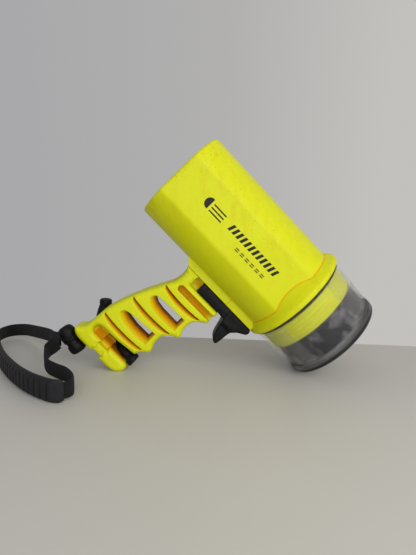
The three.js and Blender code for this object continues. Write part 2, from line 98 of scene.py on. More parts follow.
def add_attribute(made, name, values):
    attribute = made.data.attributes.new(name, "FLOAT", "POINT")
    attribute.data.foreach_set("value", np.asarray(values, np.float32))


def grid_faces(rows, columns, closed_rows=False):
    """Quads of a grid that closes along its columns, and along its rows if asked."""
    faces = []
    for i in range(rows if closed_rows else rows - 1):
        low, high = i * columns, (i + 1) % rows * columns
        for k in range(columns):
            nxt = (k + 1) % columns
            faces.append((low + k, high + k, high + nxt, low + nxt))
    return faces


def closed_tube(name, points, rows, start, end, matrix=LAMP):
    """Solid from a list of points in rings; a fan to a middle point closes each end."""
    columns = len(points) // rows
    faces = grid_faces(rows, columns)
    first, last = len(points), len(points) + 1
    base = first - columns
    for k in range(columns):
        nxt = (k + 1) % columns
        faces.append((first, k, nxt))
        faces.append((last, base + nxt, base + k))
    return fix_normals(mesh_object(name, [*points, start, end], faces, matrix))


def smooth_profile(points, corner=0.5, steps=4):
    """Rounds each inner corner of an open [x, r] outline with a small arc-like curve."""
    pts = [Vector(p) for p in points]
    out = [pts[0]]
    for before, here, after in zip(pts, pts[1:], pts[2:]):
        a, b = before - here, after - here
        reach = min(corner, 0.45 * a.length, 0.45 * b.length)
        p, q = here + a.normalized() * reach, here + b.normalized() * reach
        for i in range(steps + 1):
            t = i / steps
            out.append(p * (1 - t) ** 2 + here * 2 * t * (1 - t) + q * t * t)
    out.append(pts[-1])
    return [tuple(p) for p in out]


def revolved(profile, segments):
    """Points of an [x, r] profile turned about x."""
    angles = np.linspace(0, 2 * np.pi, segments, endpoint=False)
    return [(x, r * math.sin(a), r * math.cos(a)) for x, r in profile for a in angles]


def turned(name, ring, matrix=LAMP, segments=160, corner=0.5, closed=False):
    """Body of revolution. A closed outline makes a ring; an open one starts and ends on the axis."""
    if closed:
        profile = smooth_profile(ring + ring[:1], corner)[:-1]
    else:
        profile = [p for p in smooth_profile(ring, corner) if p[1] > 1e-6]
    points = revolved(profile, segments)
    if closed:
        return fix_normals(mesh_object(name, points, grid_faces(len(profile), segments, True), matrix))
    return closed_tube(name, points, len(profile), (ring[0][0], 0, 0), (ring[-1][0], 0, 0), matrix)


def fix_normals(made):
    """Turns all faces outwards."""
    work = bmesh.new()
    work.from_mesh(made.data)
    bmesh.ops.recalc_face_normals(work, faces=work.faces)
    if work.calc_volume(signed=True) < 0:
        bmesh.ops.reverse_faces(work, faces=work.faces)
    work.to_mesh(made.data)
    work.free()
    made.data.update()
    return made


def soft_shaded(made, degrees):
    """Smooth shading but for edges sharper than an angle."""
    made.data.set_sharp_from_angle(angle=math.radians(degrees))
    return made


# ---- implicit surfaces
def smooth_max(a, b, k):
    h = np.maximum(k - np.abs(a - b), 0) / k
    return np.maximum(a, b) + h * h * k / 4


def smooth_min(a, b, k):
    return -smooth_max(-a, -b, k)


def bezier(p0, p1, p2, p3, count=8):
    t = np.linspace(0, 1, count + 1)[1:, None]
    p0, p1, p2, p3 = (np.array(p, float) for p in (p0, p1, p2, p3))
    return [*((1 - t) ** 3 * p0 + 3 * (1 - t) ** 2 * t * p1 + 3 * (1 - t) * t * t * p2 + t**3 * p3)]


def outline(start, *moves):
    """An x-z outline from a start point, straight moves (2 numbers) and Bezier moves (6 numbers)."""
    points = [np.array(start, float)]
    for move in moves:
        if len(move) == 2:
            points.append(np.array(move, float))
        else:
            points += bezier(points[-1], move[:2], move[2:4], move[4:6])
    return np.array(points)


def polygon_distance(points, x, z):
    """Signed distance to a closed outline, negative inside, on the grid of x and z values."""
    px, pz = np.meshgrid(x, z, indexing="ij")
    best = np.full(px.shape, 1e9)
    inside = np.zeros(px.shape, bool)
    for a, b in zip(points, np.roll(points, -1, axis=0)):
        ex, ez = b - a
        wx, wz = px - a[0], pz - a[1]
        t = np.clip((wx * ex + wz * ez) / (ex * ex + ez * ez + 1e-12), 0, 1)
        best = np.minimum(best, (wx - ex * t) ** 2 + (wz - ez * t) ** 2)
        if abs(ez) > 1e-9:
            crosses = (a[1] > pz) != (b[1] > pz)
            inside ^= crosses & (px < ex * (pz - a[1]) / ez + a[0])
    return np.where(inside, -1, 1) * np.sqrt(best)


def rounded_slab(flat, y, half, radius):
    """Solid of an outline's distance field between y = -half and half, with rounded rims."""
    w1, w2 = flat + radius, np.abs(y) - half + radius
    outside = np.sqrt(np.maximum(w1, 0) ** 2 + np.maximum(w2, 0) ** 2)
    return np.minimum(np.maximum(w1, w2), 0) + outside - radius


def box_distance(x, y, z, low, high):
    centre = (np.array(low) + high) / 2
    half = (np.array(high) - low) / 2
    parts = [np.abs(v - c) - h for v, c, h in zip((x, y, z), centre, half)]
    outside = np.sqrt(sum(np.maximum(p, 0) ** 2 for p in parts))
    return outside + np.minimum(np.maximum(np.maximum(*parts[:2]), parts[2]), 0)


def surface_of(field, low, step):
    """Points and quads of the zero surface of a field sampled on a grid (surface nets)."""
    shape = np.array(field.shape)
    total = np.zeros((*(shape - 1), 3))
    count = np.zeros(shape - 1)
    crossings = []
    for axis in range(3):
        f0 = np.take(field, range(shape[axis] - 1), axis)
        f1 = np.take(field, range(1, shape[axis]), axis)
        cross = (f0 < 0) != (f1 < 0)
        index = np.argwhere(cross)
        place = index.astype(float)
        a, b = f0[cross], f1[cross]
        place[:, axis] += a / (a - b)
        u, v = (axis + 1) % 3, (axis + 2) % 3
        for du in (0, 1):
            for dv in (0, 1):
                cell = index.copy()
                cell[:, u] -= du
                cell[:, v] -= dv
                good = np.all((cell >= 0) & (cell < shape - 1), axis=1)
                at = tuple(cell[good].T)
                np.add.at(total, at, place[good])
                np.add.at(count, at, 1)
        crossings.append((index, a < 0, u, v))
    used = count > 0
    number = np.full(count.shape, -1)
    number[used] = np.arange(used.sum())
    points = total[used] / count[used][:, None] * step + low
    faces = []
    for index, starts_inside, u, v in crossings:
        corners = []
        for du, dv in ((1, 1), (0, 1), (0, 0), (1, 0)):
            cell = index.copy()
            cell[:, u] -= du
            cell[:, v] -= dv
            corners.append(number[tuple(np.clip(cell, 0, shape - 2).T)])
        quads = np.stack(corners, 1)
        quads[~starts_inside] = quads[~starts_inside][:, ::-1]
        faces.append(quads[np.all(quads >= 0, axis=1)])
    return points, np.concatenate(faces)


def sampled(low, high, step):
    axes = [np.arange(a, b + step, step) for a, b in zip(low, high)]
    x, y, z = np.meshgrid(*axes, indexing="ij", sparse=True)
    return axes, x, y, z


# ---- shader helpers
def new_material(name):
    made = bpy.data.materials.new(name)
    made.use_nodes = True
    tree = made.node_tree
    return made, tree, tree.nodes["Principled BSDF"]


def node(tree, kind, **settings):
    made = tree.nodes.new(kind)
    for key, value in settings.items():
        if key in made.inputs:
            made.inputs[key].default_value = value
        else:
            setattr(made, key, value)
    return made


def object_coordinates(tree, scale=(1, 1, 1)):
    """The piece's own coordinates, in metres, times a scale."""
    place = node(tree, "ShaderNodeTexCoord")
    mapping = node(tree, "ShaderNodeMapping")
    mapping.inputs["Scale"].default_value = scale
    tree.links.new(place.outputs["Object"], mapping.inputs["Vector"])
    return mapping.outputs["Vector"]


def noise(tree, vector, scale, detail=4, roughness=0.55):
    made = node(tree, "ShaderNodeTexNoise", Scale=scale, Detail=detail, Roughness=roughness)
    tree.links.new(vector, made.inputs["Vector"])
    return made.outputs["Fac"]


def ramp(tree, value, stops):
    """A colour ramp from (position, colour) stops; a colour may be one grey number."""
    made = node(tree, "ShaderNodeValToRGB")
    elements = made.color_ramp.elements
    while len(elements) < len(stops):
        elements.new(0.5)
    for element, (position, color) in zip(elements, stops):
        element.position = position
        element.color = (color, color, color, 1) if isinstance(color, (int, float)) else (*color, 1)
    tree.links.new(value, made.inputs["Fac"])
    return made.outputs["Color"]


def mixed(tree, factor, a, b):
    """Colour a where the factor is 0, and b where it is 1."""
    made = node(tree, "ShaderNodeMix", data_type="RGBA")
    tree.links.new(factor, made.inputs[0])
    for value, socket in ((a, made.inputs[6]), (b, made.inputs[7])):
        if isinstance(value, bpy.types.NodeSocket):
            tree.links.new(value, socket)
        else:
            socket.default_value = (*value, 1)
    return made.outputs[2]


def maths(tree, operation, a, b=0.0, clamp=False):
    made = node(tree, "ShaderNodeMath", operation=operation, use_clamp=clamp)
    for i, value in enumerate((a, b)):
        if isinstance(value, bpy.types.NodeSocket):
            tree.links.new(value, made.inputs[i])
        else:
            made.inputs[i].default_value = value
    return made.outputs[0]


def times(tree, first, *others):
    """Product of numbers and sockets, multiplied in their order."""
    for value in others:
        first = maths(tree, "MULTIPLY", first, value)
    return first


def paint(tree, shader, **inputs):
    """Sets or links inputs of a shader; an underscore stands for a space in an input's name."""
    for name, value in inputs.items():
        socket = shader.inputs[name.replace("_", " ")]
        if isinstance(value, bpy.types.NodeSocket):
            tree.links.new(value, socket)
        else:
            socket.default_value = value


def bumped(tree, shader, height, strength, distance):
    made = node(tree, "ShaderNodeBump", Strength=strength, Distance=distance)
    tree.links.new(height, made.inputs["Height"])
    tree.links.new(made.outputs["Normal"], shader.inputs["Normal"])


def attribute_value(tree, name):
    made = node(tree, "ShaderNodeAttribute", attribute_name=name)
    return made.outputs["Fac"]


# ---- materials
YELLOW = (0.60, 0.625, 0.002)
YELLOW_PALE = (0.635, 0.66, 0.006)
YELLOW_DEEP = (0.55, 0.49, 0.003)
# painted shade: the orange and the brown that stand for shade in the recesses and creases of the yellow
# plastic
RECESS_SHADE_ORANGE = (0.72, 0.36, 0.004)
RECESS_SHADE_BROWN = (0.34, 0.115, 0.002)
DIRT = (0.13, 0.115, 0.02)
BLACK = (0.010, 0.010, 0.011)
FLAT_Y = 36.5  # half the width over the barrel's two flats, in mm

# generic print on the near flat, in mm along the beam (x) and away from the handle (z)
SIGN_CENTRE = (33.5, 1)
SIGN_R = 4.6
SIGN_FRONT_X = 34.2
RAYS_X = (36, 49)
RAYS_Z = (-3.6, 5.2)
RAY_PITCH = 2.9
RAY_ZERO_Z = -30.3
BOLD_ROW = {"slant": 0.32, "pitch": 4.3, "share": 0.66, "x_span": (55.9, 107.5), "z_span": (-2.6, 3.4)}
FINE_ROW = {"slant": 0.0, "pitch": 5.4, "share": 0.72, "x_span": (70.2, 102.6), "z_span": (-9.6, -6.9)}
FINE_ROW_SPLIT_Z = (-8.6, -7.9)


def lamp_coordinate(tree, direction):
    """Millimetres along one of the lamp's axes, for each point of a piece on the case."""
    place = node(tree, "ShaderNodeTexCoord")
    away = node(tree, "ShaderNodeVectorMath", operation="SUBTRACT")
    tree.links.new(place.outputs["Object"], away.inputs[0])
    away.inputs[1].default_value = ORIGIN
    along = node(tree, "ShaderNodeVectorMath", operation="DOT_PRODUCT")
    tree.links.new(away.outputs["Vector"], along.inputs[0])
    along.inputs[1].default_value = direction / MM
    return along.outputs["Value"]


def between(tree, value, low, high, soft=0.12):
    """1 where a value lies between two limits, with soft borders."""
    rise = maths(tree, "DIVIDE", maths(tree, "SUBTRACT", value, low), soft, clamp=True)
    fall = maths(tree, "DIVIDE", maths(tree, "SUBTRACT", high, value), soft, clamp=True)
    return times(tree, rise, fall)


def dashes(tree, x, z, slant, pitch, share, x_span, z_span):
    """A row of slanted dashes inside a box of the flat."""
    shifted = maths(tree, "SUBTRACT", x, times(tree, z, slant))
    phase = maths(tree, "FRACT", maths(tree, "DIVIDE", shifted, pitch))
    inside = times(tree, between(tree, shifted, *x_span), between(tree, z, *z_span))
    return times(tree, inside, between(tree, phase, 0.02, share, 0.06))


def printed_ink(tree):
    """Plain generic marks on the near flat: a beam sign and two rows of dashes."""
    x, y, z = (lamp_coordinate(tree, axis) for axis in (FORWARD, SIDE, UP))
    near_flat = maths(tree, "LESS_THAN", y, 3 - FLAT_Y)
    dx, dz = (maths(tree, "SUBTRACT", value, middle) for value, middle in zip((x, z), SIGN_CENTRE))
    radius = maths(tree, "SQRT", maths(tree, "ADD", times(tree, dx, dx), times(tree, dz, dz)))
    disc = times(tree, between(tree, radius, -1, SIGN_R), between(tree, x, 20, SIGN_FRONT_X))
    phase = maths(tree, "FRACT", maths(tree, "DIVIDE", maths(tree, "SUBTRACT", z, RAY_ZERO_Z), RAY_PITCH))
    ray_box = times(tree, between(tree, x, *RAYS_X), between(tree, z, *RAYS_Z))
    rays = times(tree, between(tree, phase, 0.2, 0.66, 0.06), ray_box)
    bold = dashes(tree, x, z, **BOLD_ROW)
    fine = dashes(tree, x, z, **FINE_ROW)
    split = times(tree, between(tree, x, *FINE_ROW["x_span"]), between(tree, z, *FINE_ROW_SPLIT_Z))
    faded = times(tree, maths(tree, "SUBTRACT", fine, split, clamp=True), 0.85)
    ink = maths(tree, "ADD", maths(tree, "ADD", disc, rays), maths(tree, "ADD", bold, faded), clamp=True)
    worn = ramp(tree, noise(tree, object_coordinates(tree), 500, 6, 0.7), [(0.62, 1.0), (0.74, 0.35)])
    return times(tree, ink, worn, near_flat)


def yellow_plastic(name, printed=False):
    """Moulded plastic with painted shade in its recesses and creases, orange where shallow and brown where
    deep, and with scuffs and ground-in dirt.
    """
    made, tree, shader = new_material(name)
    place = object_coordinates(tree)
    painted_recess_shade, wear = attribute_value(tree, "painted_recess_shade"), attribute_value(tree, "wear")
    cloudy = ramp(tree, noise(tree, place, 28, 5), [(0.35, 0.0), (0.7, 1.0)])
    color = mixed(tree, cloudy, YELLOW, YELLOW_PALE)
    # painted shade: orange, then brown, as the recess attribute grows with depth
    color = mixed(tree, ramp(tree, painted_recess_shade, [(0.08, 0.0), (0.5, 1.0)]), color, RECESS_SHADE_ORANGE)
    color = mixed(tree, ramp(tree, painted_recess_shade, [(0.45, 0.0), (0.95, 1.0)]), color, RECESS_SHADE_BROWN)
    streaked = noise(tree, object_coordinates(tree, (1, 1, 0.35)), 130, 8, 0.7)
    smears = times(tree, ramp(tree, streaked, [(0.48, 0.0), (0.7, 1.0)]), wear)
    color = mixed(tree, maths(tree, "MULTIPLY", smears, 0.75, clamp=True), color, YELLOW_DEEP)
    specks = ramp(tree, noise(tree, place, 560, 6, 0.66), [(0.60, 0.0), (0.68, 1.0)])
    patches = ramp(tree, noise(tree, place, 45, 4, 0.7), [(0.42, 0.0), (0.62, 1.0)])
    soiled = maths(tree, "MULTIPLY", times(tree, specks, patches), wear, clamp=True)
    color = mixed(tree, times(tree, soiled, 0.7), color, DIRT)
    if printed:
        color = mixed(tree, printed_ink(tree), color, BLACK)
    rough = ramp(tree, noise(tree, place, 90, 6, 0.6), [(0.3, 0.42), (0.7, 0.62)])
    shine = ramp(tree, painted_recess_shade, [(0.15, 0.22), (0.6, 0.02)])
    paint(tree, shader, Base_Color=color, Roughness=rough, Specular_IOR_Level=shine, Subsurface_Weight=0.12,
          Subsurface_Radius=(1.0, 0.8, 0.15), Subsurface_Scale=0.003)
    scratched = noise(tree, object_coordinates(tree, (1, 1, 0.15)), 420, 5, 0.7)
    bumped(tree, shader, maths(tree, "ADD", noise(tree, place, 2600, 3), scratched), 0.10, 0.0002)
    return made


def black_plastic(name, roughness=0.42):
    made, tree, shader = new_material(name)
    place = object_coordinates(tree)
    dust = ramp(tree, noise(tree, place, 160, 7, 0.68), [(0.5, 0.0), (0.8, 1.0)])
    tint = mixed(tree, dust, (0.004, 0.004, 0.0045), (0.016, 0.0155, 0.014))
    rough = ramp(tree, noise(tree, place, 240, 5), [(0.3, roughness - 0.08), (0.7, roughness + 0.16)])
    paint(tree, shader, Base_Color=tint, Roughness=rough, Specular_IOR_Level=0.15)
    bumped(tree, shader, noise(tree, place, 3200, 2), 0.22, 0.0001)
    return made


def woven_webbing(name):
    """Black webbing with fine ribs and a twill, both from the band's own coordinates."""
    made, tree, shader = new_material(name)
    weft = maths(tree, "SINE", times(tree, attribute_value(tree, "along"), 2 * math.pi / 0.9))
    warp = maths(tree, "SINE", times(tree, attribute_value(tree, "across"), 2 * math.pi / 0.8))
    weave = times(tree, weft, warp)
    tint = ramp(tree, weave, [(0.0, (0.004, 0.004, 0.0045)), (1.0, (0.013, 0.013, 0.014))])
    fuzz = ramp(tree, noise(tree, object_coordinates(tree), 900, 4), [(0.45, 0.0), (0.8, 0.35)])
    paint(tree, shader, Base_Color=mixed(tree, fuzz, tint, (0.020, 0.019, 0.018)), Roughness=0.85,
          Specular_IOR_Level=0.2, Sheen_Weight=0.04, Sheen_Roughness=0.5)
    bumped(tree, shader, weave, 0.6, 0.0003)
    return made


def sleeve_rubber(name):
    """Dusty rubber with painted shade, almost black, in the valleys between its ribs."""
    made, tree, shader = new_material(name)
    place = object_coordinates(tree)
    dust = ramp(tree, noise(tree, place, 200, 7, 0.7), [(0.45, 0.0), (0.8, 0.8)])
    raised = mixed(tree, dust, (0.007, 0.0075, 0.0095), (0.019, 0.0195, 0.022))
    # painted shade: almost black where the gap attribute is 1
    tint = mixed(tree, attribute_value(tree, "painted_gap_shade"), raised, (0.001, 0.001, 0.001))
    paint(tree, shader, Base_Color=tint, Roughness=0.6, Specular_IOR_Level=0.3)
    bumped(tree, shader, noise(tree, place, 1500, 3), 0.3, 0.0002)
    return made


def clear_polycarbonate(name):
    """Clear plastic, scuffed and a little hazy, with a dark lip where the smoke attribute is 1, and painted
    highlights, pale and nearly opaque, where the rings attribute is 1.
    """
    made, tree, shader = new_material(name)
    smoke, rings = attribute_value(tree, "smoke"), attribute_value(tree, "rings")
    color = mixed(tree, smoke, (0.88, 0.89, 0.92), (0.012, 0.012, 0.013))
    solid = maths(tree, "MAXIMUM", smoke, times(tree, rings, 0.8))
    scuffs = noise(tree, object_coordinates(tree), 300, 9, 0.75)
    paint(tree, shader, Base_Color=mixed(tree, rings, color, (0.50, 0.48, 0.48)), IOR=1.45,
          Transmission_Weight=ramp(tree, smoke, [(0.0, 0.94), (1.0, 0.0)]),
          Alpha=ramp(tree, solid, [(0.0, 0.3), (1.0, 1.0)]),
          Roughness=ramp(tree, scuffs, [(0.5, 0.05), (0.75, 0.2)]))
    fine = noise(tree, object_coordinates(tree, (1, 1, 0.1)), 900, 6, 0.75)
    bumped(tree, shader, fine, 0.12, 0.0001)
    return made


def smoked_shell(name):
    made, tree, shader = new_material(name)
    place = object_coordinates(tree)
    # painted reflections: the light clouds in the base colour stand for a bright window mirrored in the dark
    # shell
    tint_and_reflection_clouds = noise(tree, place, 40, 3, 0.6)
    tint = ramp(tree, tint_and_reflection_clouds, [(0.5, (0.003, 0.003, 0.004)), (0.7, (0.2, 0.19, 0.195))])
    paint(tree, shader, Base_Color=tint, Roughness=0.22, Specular_IOR_Level=0.12)
    bumped(tree, shader, noise(tree, place, 70, 3), 0.3, 0.001)
    return made


def metal(name, color, roughness, brushed_scale=500):
    made, tree, shader = new_material(name)
    streaks = noise(tree, object_coordinates(tree, (1, 0.1, 1)), brushed_scale, 5)
    tint = ramp(tree, streaks, [(0.3, tuple(c * 0.86 for c in color)), (0.7, color)])
    rough = ramp(tree, streaks, [(0.2, max(0.02, roughness - 0.06)), (0.8, roughness + 0.08)])
    paint(tree, shader, Base_Color=tint, Metallic=1, Roughness=rough)
    bumped(tree, shader, streaks, 0.04, 0.0001)
    return made


def plain_moulding(name, dark, light, roughness, scale=200, bump=0.15):
    """Moulded or coated stuff with two close tones and a fine grain."""
    made, tree, shader = new_material(name)
    place = object_coordinates(tree)
    tint = ramp(tree, noise(tree, place, scale, 6, 0.6), [(0.35, dark), (0.7, light)])
    paint(tree, shader, Base_Color=tint, Roughness=roughness)
    bumped(tree, shader, noise(tree, place, scale * 8, 3), bump, 0.0001)
    return made


def glass(name, color, roughness=0.05):
    made, tree, shader = new_material(name)
    tint_and_reflection_clouds = noise(tree, object_coordinates(tree), 300, 3)
    tint = ramp(tree, tint_and_reflection_clouds, [(0.3, tuple(c * 0.9 for c in color)), (0.7, color)])
    paint(tree, shader, Base_Color=tint, Roughness=roughness, Transmission_Weight=0.7)
    return made


MATERIALS = {
    "yellow_shell": yellow_plastic("moulded_yellow"),
    "black_plastic": black_plastic("moulded_black"),
    "webbing": woven_webbing("woven_black"),
    "lanyard_cord": plain_moulding("braided_black", (0.006, 0.006, 0.007), (0.022, 0.022, 0.024), 0.9,
                                   scale=900, bump=0.5),
    "sleeve_rubber": sleeve_rubber("ribbed_rubber"),
    "clear_polycarbonate": clear_polycarbonate("clear_plastic"),
    "smoked_shell": smoked_shell("smoked_plastic"),
    "reflector_chrome": metal("mirror_coat", (0.86, 0.86, 0.88), 0.06),
    "steel": metal("zinc_steel", (0.62, 0.62, 0.64), 0.34),
    "magnet": metal("nickel_coat", (0.66, 0.65, 0.62), 0.18),
    "heat_sink_alloy": metal("machined_alloy", (0.56, 0.57, 0.59), 0.32, 900),
    "spring_brass": metal("bright_brass", (0.78, 0.58, 0.26), 0.2),
    "seal_rubber": plain_moulding("seal_black", (0.008, 0.008, 0.008), (0.02, 0.02, 0.02), 0.7),
    "carrier_plastic": plain_moulding("carrier_black", (0.018, 0.018, 0.02), (0.04, 0.04, 0.043), 0.55),
    "cell_wrap": plain_moulding("cell_sleeve", (0.03, 0.032, 0.036), (0.06, 0.062, 0.07), 0.32, 80, 0.05),
    "circuit_board": plain_moulding("solder_mask", (0.010, 0.10, 0.03), (0.02, 0.17, 0.06), 0.4, 400),
    "led_ceramic": plain_moulding("white_ceramic", (0.72, 0.72, 0.68), (0.82, 0.82, 0.79), 0.5),
    "led_dome": glass("phosphor_dome", (0.92, 0.80, 0.32)),
    "reed_glass": glass("reed_tube", (0.70, 0.86, 0.80)),
}


def finish_piece(made, body, slot, *nodes, material=None):
    """Gives a piece the material of its slot and its body, and hides the CAD nodes that it stands for."""
    made.data.materials.clear()
    made.data.materials.append(material or MATERIALS[slot])
    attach(made, body)
    if nodes:
        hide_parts(*nodes)
    return made


# ---- strap
def spline(points, per_span=24):
    """Centripetal Catmull-Rom curve through points, as one array of places."""
    pts = [np.array(p, float) for p in points]
    pts = [2 * pts[0] - pts[1], *pts, 2 * pts[-1] - pts[-2]]
    out = []
    for p0, p1, p2, p3 in zip(pts, pts[1:], pts[2:], pts[3:]):
        t1 = np.linalg.norm(p1 - p0) ** 0.5
        t2 = t1 + np.linalg.norm(p2 - p1) ** 0.5
        t3 = t2 + np.linalg.norm(p3 - p2) ** 0.5
        for t in np.linspace(t1, t2, per_span, endpoint=False):
            a1 = (t1 - t) / t1 * p0 + t / t1 * p1
            a2 = (t2 - t) / (t2 - t1) * p1 + (t - t1) / (t2 - t1) * p2
            a3 = (t3 - t) / (t3 - t2) * p2 + (t - t2) / (t3 - t2) * p3
            b1 = (t2 - t) / t2 * a1 + t / t2 * a2
            b2 = (t3 - t) / (t3 - t1) * a2 + (t - t1) / (t3 - t1) * a3
            out.append((t2 - t) / (t2 - t1) * b1 + (t - t1) / (t2 - t1) * b2)
    out.append(pts[-2])
    return np.array(out)


def even(points, step):
    """The same line with places an even step apart, and how far along each is."""
    lengths = np.concatenate([[0], np.cumsum(np.linalg.norm(np.diff(points, axis=0), axis=1))])
    at = np.linspace(0, lengths[-1], max(2, round(lengths[-1] / step)) + 1)
    return np.stack([np.interp(at, lengths, points[:, k]) for k in range(3)], 1), at


def directions_along(line):
    """Unit vector along a line at each of its places."""
    along = np.gradient(line, axis=0)
    return along / np.linalg.norm(along, axis=1)[:, None]


def strap_frames(line):
    """Unit vectors along the band, through it and across its width, which stands upright."""
    along = directions_along(line)
    up = np.array([0, 0, 1.0]) - along * along[:, 2:3]
    up /= np.linalg.norm(up, axis=1)[:, None]
    return along, np.cross(along, up), up


def swept(name, line, frames, section):
    """Sweeps a closed section of (through, across) points; it may be one section per place."""
    _, through, up = frames
    section = np.broadcast_to(section, (len(line), *np.shape(section)[-2:]))
    points = line[:, None] + section[..., :1] * through[:, None] + section[..., 1:] * up[:, None]
    return closed_tube(name, points.reshape(-1, 3), len(line), line[0], line[-1], Matrix.Scale(MM, 4))


def superellipse(width, height, count, power=4):
    a = np.linspace(0, 2 * np.pi, count, endpoint=False)
    c, s = np.cos(a), np.sin(a)
    return np.stack([np.sign(c) * np.abs(c) ** (2 / power) * width / 2,
                     np.sign(s) * np.abs(s) ** (2 / power) * height / 2], 1)


STRAP_WIDTH = 12
STRAP_THICKNESS = 1.8
STRAP_ROUTE = [
    (-138.4, 3.2, 23.2), (-147, 16, 20.5), (-157, 34, 18), (-178, 62, 13.5), (-200, 84, 9.8), (-213, 86, 8.2),
    (-218, 74, 8), (-211, 48, 8.2), (-195, 13, 8.6), (-173, -23, 8.6), (-150, -52, 8.6), (-132, -68, 8.6),
    (-117.5, -75.5, 8.6), (-109.8, -70, 8.6), (-111.6, -58, 8.6), (-120.6, -43, 8.6), (-132, -33, 8.6),
    (-140, -25, 9), (-145.6, -15, 11), (-145.6, -7, 15.8), (-139.3, -3, 21.6),
]
SLEEVE_SPAN = (0.4, 0.775)  # shares of the strap's length
SLEEVE_WIDTH = 16.5
SLEEVE_THICKNESS = 3.6
SLEEVE_END_WIDTH = 13
SLEEVE_END_THICKNESS = 2.6
SLEEVE_PLAIN_END = 5
RIB_PITCH = 6.5
RIB_HEIGHT = 1.15

strap_line, strap_at = even(spline(STRAP_ROUTE), 0.5)
strap_length = strap_at[-1]
strap_axes = strap_frames(strap_line)
band_section = superellipse(STRAP_THICKNESS, STRAP_WIDTH, 40)
strap_band = swept("strap_band", strap_line, strap_axes, band_section)
ring_count = len(band_section)
add_attribute(strap_band, "along", [*np.repeat(strap_at, ring_count), 0, strap_length])
add_attribute(strap_band, "across", [*np.tile(band_section[:, 1], len(strap_line)), 0, 0])
finish_piece(strap_band, "case", "webbing", "strap_band_far", "strap_band_near")


def strap_sleeve():
    """Ribbed rubber sleeve round the band: rounded bars across it."""
    first, last = (round(share * (len(strap_line) - 1)) for share in SLEEVE_SPAN)
    line, axes = strap_line[first:last + 1], [a[first:last + 1] for a in strap_axes]
    at = strap_at[first:last + 1] - strap_at[first]
    base = superellipse(1, 1, 56, 5)
    sections, gap_shades = [], []
    for s in at:
        from_end = min(s, at[-1] - s)
        rise = min(1, from_end / 3) ** 0.5
        bar = 0.5 + 0.5 * math.cos(2 * math.pi * (s - 4) / RIB_PITCH)
        ribbed = min(1, max(0, from_end - SLEEVE_PLAIN_END) / 3)
        rib = RIB_HEIGHT * (1 - (1 - bar) ** 4) * ribbed
        height = SLEEVE_END_WIDTH + (SLEEVE_WIDTH - SLEEVE_END_WIDTH) * rise
        middle = np.clip(4.0 - 9 * np.abs(base[:, 1] + 0.06), 0, 1)
        thick = SLEEVE_END_THICKNESS + (SLEEVE_THICKNESS - SLEEVE_END_THICKNESS) * rise + 2 * rib * middle
        sections.append(np.stack([base[:, 0] * thick, base[:, 1] * height], 1))
        # painted shade: near black in the valleys between the ribs, on the middle of the face
        gap_shades.extend((1 - bar) ** 3 * middle * ribbed)
    made = swept("strap_grip_sleeve", line, axes, np.array(sections))
    add_attribute(made, "painted_gap_shade", [*gap_shades, 0, 0])
    finish_piece(made, "case", "sleeve_rubber", "strap_sleeve")
    return made


sleeve = strap_sleeve()

LOCK_PLACE = (-130.3, 0, 28.2)
LOCK_TILT = math.radians(-34)
UPRIGHT = math.radians(-90)
LOCK_TURN = Matrix.Rotation(LOCK_TILT, 4, "Y") @ Matrix.Rotation(UPRIGHT, 4, "Y")
LOCK = Matrix.Scale(MM, 4) @ Matrix.Translation(LOCK_PLACE) @ LOCK_TURN
LOCK_BODY = [(-6, 6.5), (-6, 6.8), (-5.5, 7.2), (-4.4, 7.4), (-3.2, 7.45), (-2.8, 7.15), (-2.4, 7.45),
             (0, 7.5), (2.6, 7.4), (4.4, 7.0), (4.8, 6.7), (5.4, 6.6), (6.8, 5.6), (7.8, 3.6), (7.8, 0.6),
             (6.4, 0.6), (6.4, 4.8), (3.9, 6.5)]
lock_body = turned("strap_lock_shell", LOCK_BODY, LOCK, 96, 0.5, closed=True)
finish_piece(lock_body, "case", "black_plastic", "strap_lock_body")
LOCK_BUTTON = [(-17.4, 0), (-17.4, 4.2), (-16.9, 5.4), (-15.8, 6.7), (-14.6, 7.1), (-14.3, 6.8), (-13.9, 7.2),
               (-12, 7.3), (-10.2, 7.2), (-9.2, 6.9), (-8.8, 6.6), (-8.8, 6.2), (1, 6.2), (1, 5.4),
               (-2.8, 5.4), (-2.8, 0)]
lock_button = turned("strap_lock_plunger", LOCK_BUTTON, LOCK, 96)
finish_piece(lock_button, "lock_button", "black_plastic", "strap_lock_button")


def tube_along(name, line, radius, sides=10, matrix=LAMP):
    """Round tube along a line; radius may be one number or one per place on the line."""
    line = np.array(line, float)
    along = directions_along(line)
    side = np.cross(along[0], (0.3, 0.2, 0.93))
    carried, places = [], len(line)
    for direction in along:
        side = side - direction * np.dot(side, direction)
        side /= np.linalg.norm(side)
        carried.append(side)
    u = np.array(carried)
    v = np.cross(along, u)
    a = np.linspace(0, 2 * np.pi, sides, endpoint=False)[None, :, None]
    radii = np.broadcast_to(radius, places)[:, None, None]
    points = line[:, None] + radii * (np.cos(a) * u[:, None] + np.sin(a) * v[:, None])
    return closed_tube(name, points.reshape(-1, 3), places, line[0], line[-1], matrix)


def braided(name, line, radius, strand, strands, pitch):
    """Cord of strands wound both ways round a core."""
    line, at = even(np.array(line, float), 0.25)
    along = directions_along(line)
    u = np.cross(along, (0, 1, 0.01))
    u /= np.linalg.norm(u, axis=1)[:, None]
    v = np.cross(along, u)
    pieces = [tube_along(name, line, radius - strand, 16)]
    for turn in (1, -1):
        for k in range(strands):
            angle = turn * 2 * np.pi * at / pitch + 2 * np.pi * k / strands
            weave = radius - strand * (0.75 - 0.3 * turn * np.cos(strands * angle))
            path = line + weave[:, None] * (np.cos(angle)[:, None] * u + np.sin(angle)[:, None] * v)
            pieces.append(tube_along(f"{name}_strand", path, strand * 0.9, 6))
    return joined(pieces)


